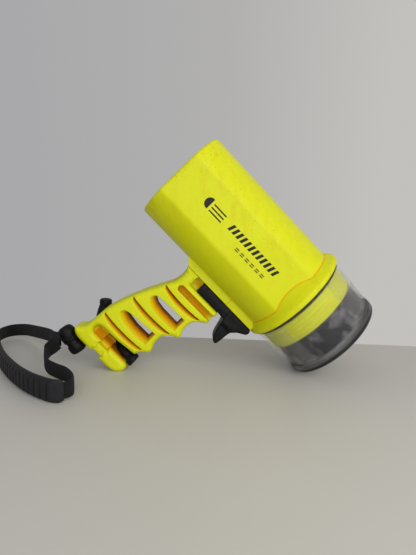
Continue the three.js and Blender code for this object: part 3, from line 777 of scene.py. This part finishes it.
def joined(pieces):
    """One mesh object of several, with their materials and attributes kept by the first."""
    first = pieces[0]
    bpy.ops.object.select_all(action="DESELECT")
    for piece in pieces:
        piece.select_set(True)
    bpy.context.view_layer.objects.active = first
    bpy.ops.object.join()
    return first


LANYARD_ROUTE = [(56, 11.2, -138.2), (55.2, 6, -139.4), (53.6, 2, -141.4), (50, 0, -144.6), (45, 0, -147.4),
                 (40, 0, -149.9), (36.3, 0, -152.5)]
lanyard = braided("lanyard_braid", spline(LANYARD_ROUTE), 1.7, 0.42, 5, 7)
finish_piece(lanyard, "case", "lanyard_cord", "lanyard_cord")

TOGGLE_ROUTE = [(30.1, 19.8, -120.4), (33.4, 19.8, -124.2), (37.4, 19.8, -131), (42, 19.8, -136.4),
                (50, 18.9, -137.4), (58.5, 14.6, -135.4), (64, 7, -135.2), (71, -1.5, -135.1),
                (80, -5.4, -134.4), (84.6, -6, -134)]
TOGGLE_RADII = [  # share of the route, and the radius there
    (0, 0.2), (0.002, 3.6), (0.008, 4.6), (0.02, 5.3), (0.05, 5.4), (0.065, 5.3), (0.08, 5.0), (0.1, 5.0),
    (0.18, 5.4), (0.27, 5.6), (0.33, 5.1), (0.385, 4.5), (0.45, 4), (0.52, 3.6), (0.585, 3.5), (0.65, 3.4),
    (0.7, 3.6), (0.75, 3.9), (0.905, 3.95), (0.93, 4.6), (0.945, 5.5), (0.96, 5.85), (0.98, 5.9),
    (0.992, 5.5), (0.998, 4.6), (1, 0.2)]
toggle_line, toggle_at = even(spline(TOGGLE_ROUTE), 0.25)
toggle_radii = np.interp(toggle_at / toggle_at[-1], *zip(*TOGGLE_RADII))
toggle = tube_along("toggle_bar", toggle_line, toggle_radii, 48)
finish_piece(toggle, "case", "black_plastic", "lanyard_toggle")

# ---- housing
BARREL_R = 40.8
WALL = 3.2
REAR_ROUND = 2.6
RAIL_HALF_WIDTH = 12.6
RAIL_STEP_X = 101
FLANGE = [(121.9, 36.2), (127, 40.8), (131.5, 45.2), (132.6, 46.0), (133.6, 46.3), (135.2, 46.2),
          (136.1, 45.8), (136.6, 44.9)]
NECK_R = 39.6
NECK_START = 136.6
NECK_END = 157
NECK_BORE_R = 36.5
BAY_REAR = 4
THREAD_PITCH = 3


def housing():
    """Barrel, rail, flange and threaded neck as one grid of rings, from the rear to the bay inside."""
    plain = np.arange(0, 360, 1.8)
    rail_edges = [180 + s * a for s in (-1, 1) for a in np.arange(13.5, 20.1, 0.35)]
    flat_edges = [c + a for c in (63.5, 116.5, 243.5, 296.5) for a in np.arange(-3.2, 3.3, 0.4)]
    phi = np.radians(np.unique(np.round(np.concatenate([plain, rail_edges, flat_edges]), 3)))
    sine, cosine = np.abs(np.sin(phi)) + 1e-9, np.cos(phi)
    down = np.where(cosine < -0.2, -cosine, np.nan)

    def barrel_at(inset=0.0):
        return smooth_min(np.full_like(phi, BARREL_R - inset), (FLAT_Y - inset) / sine, 0.8)

    def rail_at(x):
        bottom = np.interp(x, [51.2, 51.6, 57.0, 58.2], [30, 39.6, 45.0, 45.3])
        half = RAIL_HALF_WIDTH - 0.55 * (x < RAIL_STEP_X)
        return np.nan_to_num(smooth_min(bottom / down, half / sine, 0.9), nan=0.0)

    rows, painted_recess_shade, wear = [], [], []

    def row(x, radius, groove=0.0, dirt=0.0):
        radius = np.broadcast_to(radius, phi.shape)
        xs = np.broadcast_to(x, phi.shape)
        rows.append(np.stack([xs, radius * np.sin(phi), radius * cosine], 1))
        painted_recess_shade.append(np.broadcast_to(groove, phi.shape))
        wear.append(np.broadcast_to(dirt, phi.shape))

    def crease(a, b, width=0.42):
        return np.exp(-(((a - b) / width) ** 2))

    def near_rear(x):
        return 0.25 + 0.75 * math.exp(-x / 30)

    upper_edge = 0.5 * np.exp(-(((np.degrees(phi) - 300) / 22) ** 2))
    stations = [0, 0.12, 0.45, 0.95, 1.6, 2.3, REAR_ROUND, 4]
    stations += [*np.arange(6, 50, 2), *np.arange(50, 59, 0.4), *np.arange(60, RAIL_STEP_X - 0.5, 2)]
    stations += [RAIL_STEP_X - 0.3, RAIL_STEP_X + 0.3]
    stations += [*np.arange(103, 120, 2), *np.arange(120, NECK_START, 0.3)]
    for x in stations:
        t = max(0, 1 - x / REAR_ROUND)
        body = barrel_at(REAR_ROUND * (1 - math.sqrt(max(0, 1 - t * t))))
        # painted shade: the recess attribute gets an orange-brown crease tint where the rail and the flange
        # meet the barrel, and along the rail's step
        groove = np.zeros_like(phi)
        if x > 51:
            rail = rail_at(x) if x < 130.5 else np.zeros_like(phi)
            groove = 0.42 * crease(body, rail, 0.5) * (rail > 30)
            groove += 0.30 * crease(x, RAIL_STEP_X, 0.5) * (rail > body)
            body = smooth_max(body, rail, 0.5)
        if x > FLANGE[0][0]:
            flange = np.interp(x, *zip(*FLANGE))
            groove = np.maximum(groove, 0.52 * crease(body, flange, 0.6) * (x < 131))
            body = smooth_max(body, np.full_like(phi, flange), 0.5)
        row(x, body, groove, near_rear(x) + upper_edge + 0.5 * math.exp(-(((x - 133) / 4) ** 2)))
    row(NECK_START, 44.6)
    row(NECK_START, 42.0)
    row(NECK_START, NECK_R + 0.3)
    row(NECK_START + 0.3, NECK_R)
    for x in np.arange(138.5, NECK_END - 0.6, 0.22):
        turn = (x - 1.5 - THREAD_PITCH * phi / (2 * np.pi)) / THREAD_PITCH
        tooth = np.clip(1.3 * np.cos(2 * np.pi * turn) - 0.1, 0, 1)
        fade = np.clip(min(x - 140.5, NECK_END - 1.5 - x) / 1.5, 0, 1)
        row(x, NECK_R + 0.75 * tooth * fade, 0.12 * tooth * fade)
    row(NECK_END - 0.4, NECK_R)
    row(NECK_END, NECK_R - 0.4)
    row(NECK_END, NECK_BORE_R + 0.3)
    row(NECK_END - 0.3, NECK_BORE_R)
    row(127, NECK_BORE_R)
    for x in (126, 125.6, 90, 50, BAY_REAR + 0.8):
        row(x, barrel_at(WALL) if x < 126 else NECK_BORE_R)
    row(BAY_REAR, barrel_at(WALL + 0.8))
    made = closed_tube("barrel_shell", np.concatenate(rows), len(rows), (0, 0, 0), (BAY_REAR, 0, 0))
    soft_shaded(made, 38)
    # recess holds the painted crease shade; wear holds where dirt gathers
    add_attribute(made, "painted_recess_shade", [*np.concatenate(painted_recess_shade), 0, 0])
    add_attribute(made, "wear", [*np.concatenate(wear), 1, 0])
    return made


barrel = housing()
printed_yellow = yellow_plastic("printed_yellow", printed=True)
finish_piece(barrel, "case", "yellow_shell", "housing", material=printed_yellow)


# ---- handle
GRIP_HALF = 12.5
GRIP_TOP = -45.6
GRIP = outline(
    (57.6, GRIP_TOP), (60.5, -51, 60.6, -58, 58, -64), (51, -78, 41.5, -96, 36.6, -118),
    (35.3, -126, 36.3, -136.6, 34.4, -141.2), (33.2, -143.8, 31.4, -145, 30, -146.6),
    (28.8, -148.4, 31.6, -152.2, 40, -152.3), (52.3, -152.3), (52.3, -150.2), (61, -150.2), (61, -152.9),
    (71, -152.9), (77.5, -152.9, 83.4, -149.2, 83, -143.5), (82.6, -140.5, 80.5, -139.4, 77.5, -139.4),
    (61.5, -139.4), (61.5, -143.2), (52.6, -143.2), (52.6, -140), (45, -140),
    (42.6, -140, 40.6, -138, 40.6, -135.6), (40.6, -133.2, 42.6, -131.2, 45, -131.2), (62, -130.8),
    (79.5, -129), (80.6, -125.4), (85.2, -121), (88.4, -118.4, 87, -115.4, 85, -112.6),
    (83.2, -108, 83.2, -102.4, 86.4, -98.6), (88.4, -96.4, 91, -95, 93.6, -94),
    (96.2, -92.4, 95, -90.2, 93.6, -87.6), (91.6, -83, 91.8, -77.6, 94.8, -73.6),
    (96.8, -71, 99.6, -70.2, 101.4, -68), (102.7, -65.6), (102.7, -56.6), (101.4, -55.2), (70, -55.2),
    (70, GRIP_TOP))
GROOVES = [(56, 95.4, -69.6), (44.6, 87, -95.2), (38, 80.6, -120.9)]
GROOVE_WIDTH = 4.3
GROOVE_DEPTH = 4.6
WINDOWS = [  # outline at the surface, and outline of the hole at the foot of its sloped lip
    ([(54.4, -84.4), (55.4, -81.8), (57.6, -80.2), (66, -79.2), (87.6, -78.6), (87.6, -91.6), (80, -92.3),
      (70, -92.2), (62, -91), (57.4, -89), (55, -86.6)],
     [(57.4, -81.6), (60, -80.5), (86.2, -79.0), (86.2, -87.2), (70, -86.9), (63, -85.9), (59, -83.8)]),
    ([(45.8, -110.6), (47, -108), (50, -106.6), (60, -105.4), (79.4, -104), (79.4, -117), (72, -118),
      (62, -117.6), (54, -116.4), (48.6, -114.4), (46.2, -112.4)],
     [(49.6, -107.6), (53, -106.4), (77.6, -104.3), (77.6, -112), (64, -112), (56, -110.9), (51, -109)]),
]
WINDOW_LIP_DEPTH = 7.5
FINGER_SLOT = (64, 104, -65.2, -59.3)
FINGER_SLOT_DEPTH = 8
SLOT_RAMP_DEPTH = 3.2
BUTT_INSET = 1.9
BUTT_WEBS = [(38, 52.8, 5.5, -142, -131), (52, 61.6, 3.5, -144, -133.6)]
SCREW_X = (63, 74.5)
SCREW_SHANK_R = 1.7
SCREW_HEAD_R = 3.2
CORD_HOLE_R = 2.3
GROUND_LEVEL = -(ORIGIN.z / MM)


def round_ended(x0, x1, z0, z1):
    """Outline of a long hole with a round rear end and a square front."""
    r = (z1 - z0) / 2
    turn = np.linspace(np.pi / 2, 1.5 * np.pi, 16)
    back = [(x0 + r + r * math.cos(a), z0 + r + r * math.sin(a)) for a in turn]
    return np.array([(x1, z0), (x1, z1), *back])


def groove_curve(x, x0, x1, z, sag=1.2):
    """Upper and lower edge of a groove that sags towards its middle."""
    t = np.clip((x - x0) / (x1 - x0), 0, 1)
    top = (1 - t) ** 2 * (z + 0.6) + 2 * t * (1 - t) * (z - 2 * sag) + t * t * z
    return top, top - 0.3 - GROOVE_WIDTH * (4 * t * (1 - t)) ** 0.35


def handle():
    """Grip, butt and top plate as one distance field, cut by slots, grooves, windows and the cord's hole."""
    step = 0.45
    low = np.array([24.0, -13.6, -155.0])
    (xs, _, zs), x, y, z = sampled(low, (104.5, 13.6, -44.0), step)

    def flat(points):
        return polygon_distance(points, xs, zs)[:, None, :]

    def block(x0, x1, half, z0, z1):
        return box_distance(x, y, z, (x0, -half, z0), (x1, half, z1))

    depth = GRIP_HALF - np.abs(y)
    whole = rounded_slab(flat(GRIP), y, GRIP_HALF, 4.2)
    neck_plan = np.array([(50, GRIP_TOP), (50, -49.5), (69.4, -49.5), (69.4, GRIP_TOP)])
    neck = rounded_slab(flat(neck_plan), y, GRIP_HALF, 0.6)
    square = np.maximum(flat(GRIP), np.abs(y) - GRIP_HALF)
    upper = np.clip((z + 51) / 5, 0, 1)
    whole = whole * (1 - upper) + np.maximum(square, neck) * upper
    uncut = whole
    # painted shade: the first box fills the gap between the fin and the grip, so that the fin's top face also
    # gets the painted recess shade
    for box in ((40, 80, GRIP_HALF, -144, -130), (69, 103, GRIP_HALF, -56, GRIP_TOP)):
        uncut = np.minimum(uncut, block(*box))
    solid = whole

    def carve(cut, soft=0.5):
        nonlocal solid
        solid = smooth_max(solid, -cut, soft)

    slot = flat(round_ended(*FINGER_SLOT))
    carve(np.maximum(slot, depth - FINGER_SLOT_DEPTH))
    ramp_low = (depth * 1.5 - 3.2 * (z - FINGER_SLOT[2])) / 3.5
    carve(np.maximum(np.maximum(slot, ramp_low), depth - SLOT_RAMP_DEPTH))
    # painted shade: how fast the orange-brown tint grows with depth, stronger in the grooves and weaker in
    # the finger slot and at the butt
    shade_per_depth = np.full((len(xs), len(zs)), 0.13)
    for x0, x1, z0 in GROOVES:
        top, bottom = groove_curve(x, x0, x1, z0)
        share = np.clip((z - bottom) / (top - bottom), 0, 1)
        sides = np.maximum(np.maximum(z - top, bottom - z), np.maximum(x0 - x, x - x1))
        carve(np.maximum(sides, (depth - GROOVE_DEPTH * share**0.8) * 0.6))
        shade_per_depth[sides[:, 0] < 0.4] = 0.30
    for surface, hole in WINDOWS:
        t = np.clip(depth / WINDOW_LIP_DEPTH, 0, 1)
        carve((1 - t) * flat(np.array(surface)) + t * flat(np.array(hole)))
    shade_per_depth[(zs > -66.5)[None, :] & (xs > 0)[:, None]] = 0.068
    shade_per_depth[(xs < 62.5)[:, None] & (zs < -130)[None, :]] = 0.105
    for web in BUTT_WEBS:
        solid = smooth_min(solid, block(*web), 0.5)
    u, v = np.abs(x - 56.65) / 4.35, np.abs(z + 146.9) / 3.7
    inset = BUTT_INSET - 0.9 * (1 - np.clip(np.maximum(u, v), 0, 1))
    carve(np.maximum(block(52.3, 61, 20, -156, -143.2), depth - inset), 0.3)
    solid = smooth_min(solid, block(69, 98.6, 4, -57, GRIP_TOP), 0.6)
    carve(block(78.7, 92.3, 6, -52.6, -48.4), 0.4)
    for screw_x in SCREW_X:
        away = np.hypot(x - screw_x, y)
        solid = np.maximum(solid, -np.maximum(away - SCREW_SHANK_R, -z - 61))
        solid = np.maximum(solid, -np.maximum(away - SCREW_HEAD_R, np.maximum(z + 59.6, -z - 80.5)))
    route = spline(LANYARD_ROUTE)[::6]
    channel = np.full(solid.shape, 1e9)
    for px, py, pz in route:
        near = (xs > px - 7) & (xs < px + 7)
        part = np.sqrt((x[near] - px) ** 2 + (y - py) ** 2 + (z - pz) ** 2) - CORD_HOLE_R
        channel[near] = np.minimum(channel[near], part)
    carve(channel, 0.4)
    ground = -(FORWARD.z * x + UP.z * z - GROUND_LEVEL)
    solid = np.maximum(solid, ground)
    solid = np.maximum(solid, z - GRIP_TOP)
    points, faces = surface_of(solid, low, step)
    made = fix_normals(mesh_object("grip", points, faces))
    cell = np.clip(((points - low) / step).round().astype(int), 0, np.array(solid.shape) - 1)
    # painted shade: the recess attribute grows with depth below the uncut body and with distance from the
    # side faces
    below = np.maximum(0, -uncut[tuple(cell.T)])
    inward = np.maximum(0, GRIP_HALF - np.abs(points[:, 1]))
    painted_recess_shade = np.clip(np.minimum(below * 1.6, inward) * shade_per_depth[cell[:, 0], cell[:, 2]], 0, 1)
    painted_recess_shade[points[:, 2] > GRIP_TOP - 0.4] = 0
    add_attribute(made, "painted_recess_shade", painted_recess_shade)
    edge = np.exp(-below / 0.4)
    add_attribute(made, "wear", 0.25 + 0.35 * edge * (points[:, 2] < -125))
    return made


grip = handle()
finish_piece(grip, "case", "yellow_shell", "handle")


# ---- trigger
TRIGGER_TOP = -45.8
TRIGGER_BOTTOM = -54.8
BLADE = outline(
    (104.5, TRIGGER_TOP), (104.5, TRIGGER_BOTTOM), (108.4, TRIGGER_BOTTOM),
    (110, -58, 111.4, -66, 113.4, -70.6),
    (115, -73.6, 117.4, -75.4, 119.2, -75), (121, -74.4, 120.8, -70, 121.2, -64),
    (121.6, -59, 122.8, -56.6, 126, -54.4), (130.8, -51.6), (132.6, -50.2, 132.8, -47.4, 131, -45.9),
    (131, TRIGGER_TOP))


def trigger():
    """Fork of two arms that straddle the web, with the blade in front and a pocket for the magnet."""
    step = 0.4
    low = np.array([75.0, -13.2, -77.0])
    (xs, _, zs), x, y, z = sampled(low, (134.0, 13.2, -44.4), step)
    blade = polygon_distance(BLADE, xs, zs)[:, None, :]
    taper = 11.5 - 3.0 * np.clip((-57 - z) / 3, 0, 1)
    ridge = 0.5 * np.clip(1 - np.abs(z + 50.3) / 4.4, 0, 1)
    front = rounded_slab(blade, y, taper, 1.7)
    arm_plan = outline((77, TRIGGER_TOP), (77, TRIGGER_BOTTOM), (108, TRIGGER_BOTTOM), (108, TRIGGER_TOP))
    arms = rounded_slab(polygon_distance(arm_plan, xs, zs)[:, None, :], y, 11.5 + ridge + 0 * x, 0.9)
    arms = smooth_max(arms, -box_distance(x, y, z, (60, -4.3, -60), (104.5, 4.3, -40)), 0.4)
    solid = smooth_min(front, arms, 0.8)
    for side in (-1, 1):
        lug = box_distance(x, y * side, z, (85.6, 0.6, -52.2), (92, 4.8, -48.8))
        solid = smooth_min(solid, lug, 0.3)
    solid = np.maximum(solid, -box_distance(x, y, z, (109.6, -3.3, -50.2), (116.4, 3.3, -40)))
    points, faces = surface_of(solid, low, step)
    return fix_normals(mesh_object("trigger_fork", points, faces))


trigger_fork = trigger()
finish_piece(trigger_fork, "trigger", "black_plastic", "trigger")


# ---- bezel, seal and lamp module
BEZEL = [(138.8, 40.8), (138.8, 42.5), (139.2, 43.1), (139.9, 43.3), (150, 43.1), (158, 42.7), (166, 42.1),
         (174.6, 41.55), (175, 41.5), (175.3, 41.3), (175.7, 41.15), (176.9, 41.15), (177.3, 41.6),
         (177.8, 41.8), (178.2, 41.9), (178.6, 41.95), (180.1, 42), (180.6, 42), (181.1, 42), (181.6, 42),
         (182.1, 42), (184.2, 42), (185.2, 41.6), (185.8, 40.8), (186, 39.8), (186, 37.6), (185.6, 37.0),
         (184.2, 36.2), (184.2, 0), (179.4, 0), (179.4, 39.0), (179.0, 39.4), (158.2, 39.4), (157.6, 40.7)]
SMOKED_LIP_X = 181.6
# painted highlights: pale rings round the bezel's outer face
HIGHLIGHT_RINGS_X = (157.2, 178.2, 180.6)


def closed_turn(name, ring, segments=160, corner=0.35):
    """Closed body of revolution whose outline touches the axis twice in its middle."""
    on_axis = [i for i, (_, r) in enumerate(ring) if r == 0]
    front, back = ring[:on_axis[0] + 1], ring[on_axis[1]:]
    path = smooth_profile(back + front, corner)[1:-1]
    return closed_tube(name, revolved(path, segments), len(path), (back[0][0], 0, 0), (front[-1][0], 0, 0))


bezel = soft_shaded(closed_turn("bezel_ring", BEZEL), 50)
bezel_x, *bezel_yz = np.array([(LAMP.inverted() @ v.co)[:] for v in bezel.data.vertices]).T
bezel_r = np.hypot(*bezel_yz)
# painted highlights: three pale rings round the outer face of the bezel
ring_highlights = sum(np.exp(-(((bezel_x - at) / 0.35) ** 2)) for at in HIGHLIGHT_RINGS_X)
add_attribute(bezel, "smoke", np.clip((bezel_x - SMOKED_LIP_X) / 0.5, 0, 1) * (bezel_r > 35))
add_attribute(bezel, "rings", ring_highlights * (bezel_r > 40.9))
finish_piece(bezel, "bezel", "clear_polycarbonate", "clear_bezel")

SEAL = [(136.9, 40.9), (136.9, 43.6), (137.2, 44.0), (137.7, 44.2), (138.2, 44.0), (138.5, 43.6),
        (138.6, 40.7), (140.4, 40.55), (140.4, 39.75), (138.0, 39.75)]
seal = turned("seal_ring", SEAL, LAMP, 160, 0.2, closed=True)
finish_piece(seal, "case", "seal_rubber", "o_ring")

SHELL = [(157.4, 25.8), (157.4, 38.4), (157.9, 38.9), (160, 38.9), (160.5, 38.6), (165, 38.6), (165.5, 38.9),
         (178.3, 39.0), (178.8, 38.7), (178.8, 38.1), (159, 38.1), (159, 25.8)]
shell = turned("lamp_cup", SHELL, LAMP, 160, 0.25, closed=True)
finish_piece(shell, "lamp_module", "smoked_shell", "lamp_shell")

REFLECTOR_VERTEX = 146
REFLECTOR_FRONT = 178.4
REFLECTOR_R = 37
REFLECTOR_HOLE = 7.4


def reflector():
    """Thin paraboloid mirror with a flat rim."""
    k = REFLECTOR_R**2 / (REFLECTOR_FRONT - REFLECTOR_VERTEX)
    radii = np.linspace(REFLECTOR_HOLE, REFLECTOR_R, 40)
    inner = [(REFLECTOR_VERTEX + r * r / k, r) for r in radii]
    outer = [(x - 1.1 * (1 - r / (2 * REFLECTOR_R)), r + 0.8) for x, r in inner][::-1]
    outer[0] = (REFLECTOR_FRONT, REFLECTOR_R + 0.8)
    return turned("mirror_cone", inner + outer, LAMP, 128, 0.05, closed=True)


mirror = soft_shaded(reflector(), 45)
finish_piece(mirror, "lamp_module", "reflector_chrome", "reflector")

SINK = [(136, 0), (136, 35.4), (136.4, 35.8), (138.6, 35.8), (139, 35.4), (139, 24), (140.5, 24),
        (140.5, 35.4), (140.9, 35.8), (143.1, 35.8), (143.5, 35.4), (143.5, 12), (145.6, 6.4), (148.4, 6.4),
        (148.4, 0)]
sink = soft_shaded(turned("finned_sink", SINK, LAMP, 128, 0.2), 45)
finish_piece(sink, "lamp_module", "heat_sink_alloy", "heat_sink")

BOARD = [(148.7, 0), (148.7, 6.0), (148.9, 6.2), (149.9, 6.2), (150.1, 6.0), (150.1, 4.6), (150.05, 4.5),
         (150.05, 0)]
DOME = [(150.4, 0), (150.4, 3.4), (151.2, 3.4), (151.4, 2.7), (152.6, 2.5), (153.6, 1.8), (154.2, 0.9),
        (154.4, 0)]
CIRCUIT = [(133.8, 0), (133.8, 33.8), (134.0, 34), (135.2, 34), (135.4, 33.8), (135.4, 0)]
MODULE_DISCS = [
    ("emitter_base", BOARD, 96, 0.1, "led_ceramic", "led_board"),
    ("emitter_dome", DOME, 96, 0.5, "led_dome", "led_emitter"),
    ("driver_disc", CIRCUIT, 128, 0.1, "circuit_board", "driver_board"),
]
for name, ring, segments, corner, slot, cad_node in MODULE_DISCS:
    finish_piece(turned(name, ring, LAMP, segments, corner), "lamp_module", slot, cad_node)


def helix(turns, r0, r1, x0, x1):
    """Line of a coil spring along x, from radius r0 to r1."""
    t = np.linspace(0, 1, int(turns * 36))
    a = 2 * np.pi * turns * t
    r = r0 + (r1 - r0) * t
    return np.stack([x0 + (x1 - x0) * t, r * np.cos(a), r * np.sin(a)], 1)


contact = tube_along("contact_coil", helix(4, 4, 4, 123.2, 132.9), 0.45, 12)
finish_piece(contact, "lamp_module", "spring_brass", "contact_spring")

CELL_R = 13.1
CELL_LENGTH = 50
CELL_OFFSET = 13.4
CELL_CORNERS = ((-1, -1), (1, -1), (1, 1), (-1, 1))
PLATES = {
    "carrier_rear_plate": (5, 7.6),
    "carrier_middle_plate": (61.2, 63.8),
    "carrier_front_plate": (117.4, 120),
}
PLATE_R = 32.6
ROD_R = 2.6


def cell_outline(x):
    """One cell from its flat rear to the button on its front."""
    end = x + CELL_LENGTH
    return [(x, 0), (x, 10.6), (x + 0.25, 10.8), (x + 0.25, CELL_R - 0.7), (x + 0.6, CELL_R - 0.15),
            (x + 1.2, CELL_R), (end - 3.0, CELL_R), (end - 2.2, CELL_R - 0.3), (end - 1.8, CELL_R - 1.2),
            (end - 2.0, 10), (end - 1.9, 4.4), (end - 1.6, 3.2), (end - 0.3, 3.1), (end, 2.7), (end, 0)]


for layer, plate in enumerate(("carrier_rear_plate", "carrier_middle_plate")):
    for corner, (side_y, side_z) in enumerate(CELL_CORNERS):
        number = len(CELL_CORNERS) * layer + corner + 1
        place = LAMP @ Matrix.Translation((0, side_y * CELL_OFFSET, side_z * CELL_OFFSET))
        start = PLATES[plate][1] + 0.3
        coil = helix(3, 4.5, 2.6, start + 0.4, start + 2.0)
        spring = tube_along(f"cone_coil_{number}", coil, 0.4, 8, place)
        finish_piece(spring, "case", "steel", f"cell_spring_{number}")
        cell = turned(f"battery_{number}", cell_outline(start + 2.7), place, 96, 0.3)
        finish_piece(cell, "case", "cell_wrap", f"cell_{number}")

for name, (x0, x1) in PLATES.items():
    profile = [(x0, ROD_R + 0.3), (x0, PLATE_R - 0.4), (x0 + 0.4, PLATE_R), (x1 - 0.4, PLATE_R),
               (x1, PLATE_R - 0.4), (x1, 29), (x1 - 0.5, 28.7), (x1 - 0.5, 6.3), (x1, 6), (x1, ROD_R + 0.3)]
    made = turned(name.replace("carrier", "cage"), profile, LAMP, 128, 0.15, closed=True)
    finish_piece(made, "case", "carrier_plastic", name)
ROD = [(4.4, 0), (4.4, 4.2), (4.7, 4.3), (4.75, ROD_R), (120.6, ROD_R), (121.6, ROD_R), (122.4, 2.0),
       (122.4, 0)]
rod = turned("cage_rod", ROD, LAMP, 64, 0.15)
finish_piece(rod, "case", "steel", "carrier_rod")

# ---- small CAD pieces kept as they are
for name, slot in (("handle_screw_1", "steel"), ("handle_screw_2", "steel"), ("trigger_magnet", "magnet"),
                   ("reed_switch", "reed_glass"), ("strap_lock_spring", "steel")):
    kept = NODES[name]
    kept.data.materials.clear()
    kept.data.materials.append(MATERIALS[slot])
    bevel = kept.modifiers.new("soft_edges", "BEVEL")
    bevel.width = 0.12 * MM
    bevel.segments = 2

# ---- floor, light and finish
FLOOR_REACH = 1.6
FLOOR_BACK_EDGE = [(-0.90, 0.192), (0.90, -0.008)]  # the table's far edge runs slightly across the view
FLOOR_TONE = (0.52, 0.505, 0.47)


def floor():
    (left, back_left), (right, back_right) = FLOOR_BACK_EDGE
    corners = [(left, -FLOOR_REACH, 0), (right, -FLOOR_REACH, 0), (right, back_right, 0),
               (left, back_left, 0)]
    made = mesh_object("floor", corners, [(0, 1, 2, 3)], Matrix.Identity(4), smooth=False)
    finish, tree, shader = new_material("pale_floor")
    place = object_coordinates(tree)
    lighter = tuple(c * 1.05 for c in FLOOR_TONE)
    tint = ramp(tree, noise(tree, place, 3, 3), [(0.3, FLOOR_TONE), (0.7, lighter)])
    paint(tree, shader, Base_Color=tint, Roughness=0.5)
    made.data.materials.append(finish)


def area_light(name, place, aim, size, power, color=(1, 1, 1)):
    light = bpy.data.lights.new(name, "AREA")
    light.shape = "DISK"
    light.size = size
    light.energy = power
    light.color = color
    made = bpy.data.objects.new(name, light)
    made.location = place
    made.rotation_euler = (Vector(aim) - Vector(place)).to_track_quat("-Z", "Y").to_euler()
    bpy.context.scene.collection.objects.link(made)


def studio():
    scene = bpy.context.scene
    world = bpy.data.worlds.new("pale_room")
    world.use_nodes = True
    background = world.node_tree.nodes["Background"]
    tree = world.node_tree
    place = node(tree, "ShaderNodeTexCoord")
    split = node(tree, "ShaderNodeSeparateXYZ")
    tree.links.new(place.outputs["Generated"], split.inputs["Vector"])
    side = ramp(tree, maths(tree, "ADD", split.outputs["X"], 0.5),
                [(0.15, (0.395, 0.395, 0.405)), (0.55, (0.44, 0.435, 0.43)), (0.85, (0.545, 0.53, 0.51))])
    tree.links.new(side, background.inputs["Color"])
    background.inputs["Strength"].default_value = 1.0
    scene.world = world
    area_light("key", (0.42, -0.6, 0.42), (0.02, 0, 0.08), 0.55, 2.7, (1, 0.98, 0.94))
    area_light("fill", (0.0, -1.1, 0.42), (0, 0, 0.08), 1.0, 5.6, (0.96, 0.98, 1))
    scene.view_settings.view_transform = "Standard"


floor()
studio()
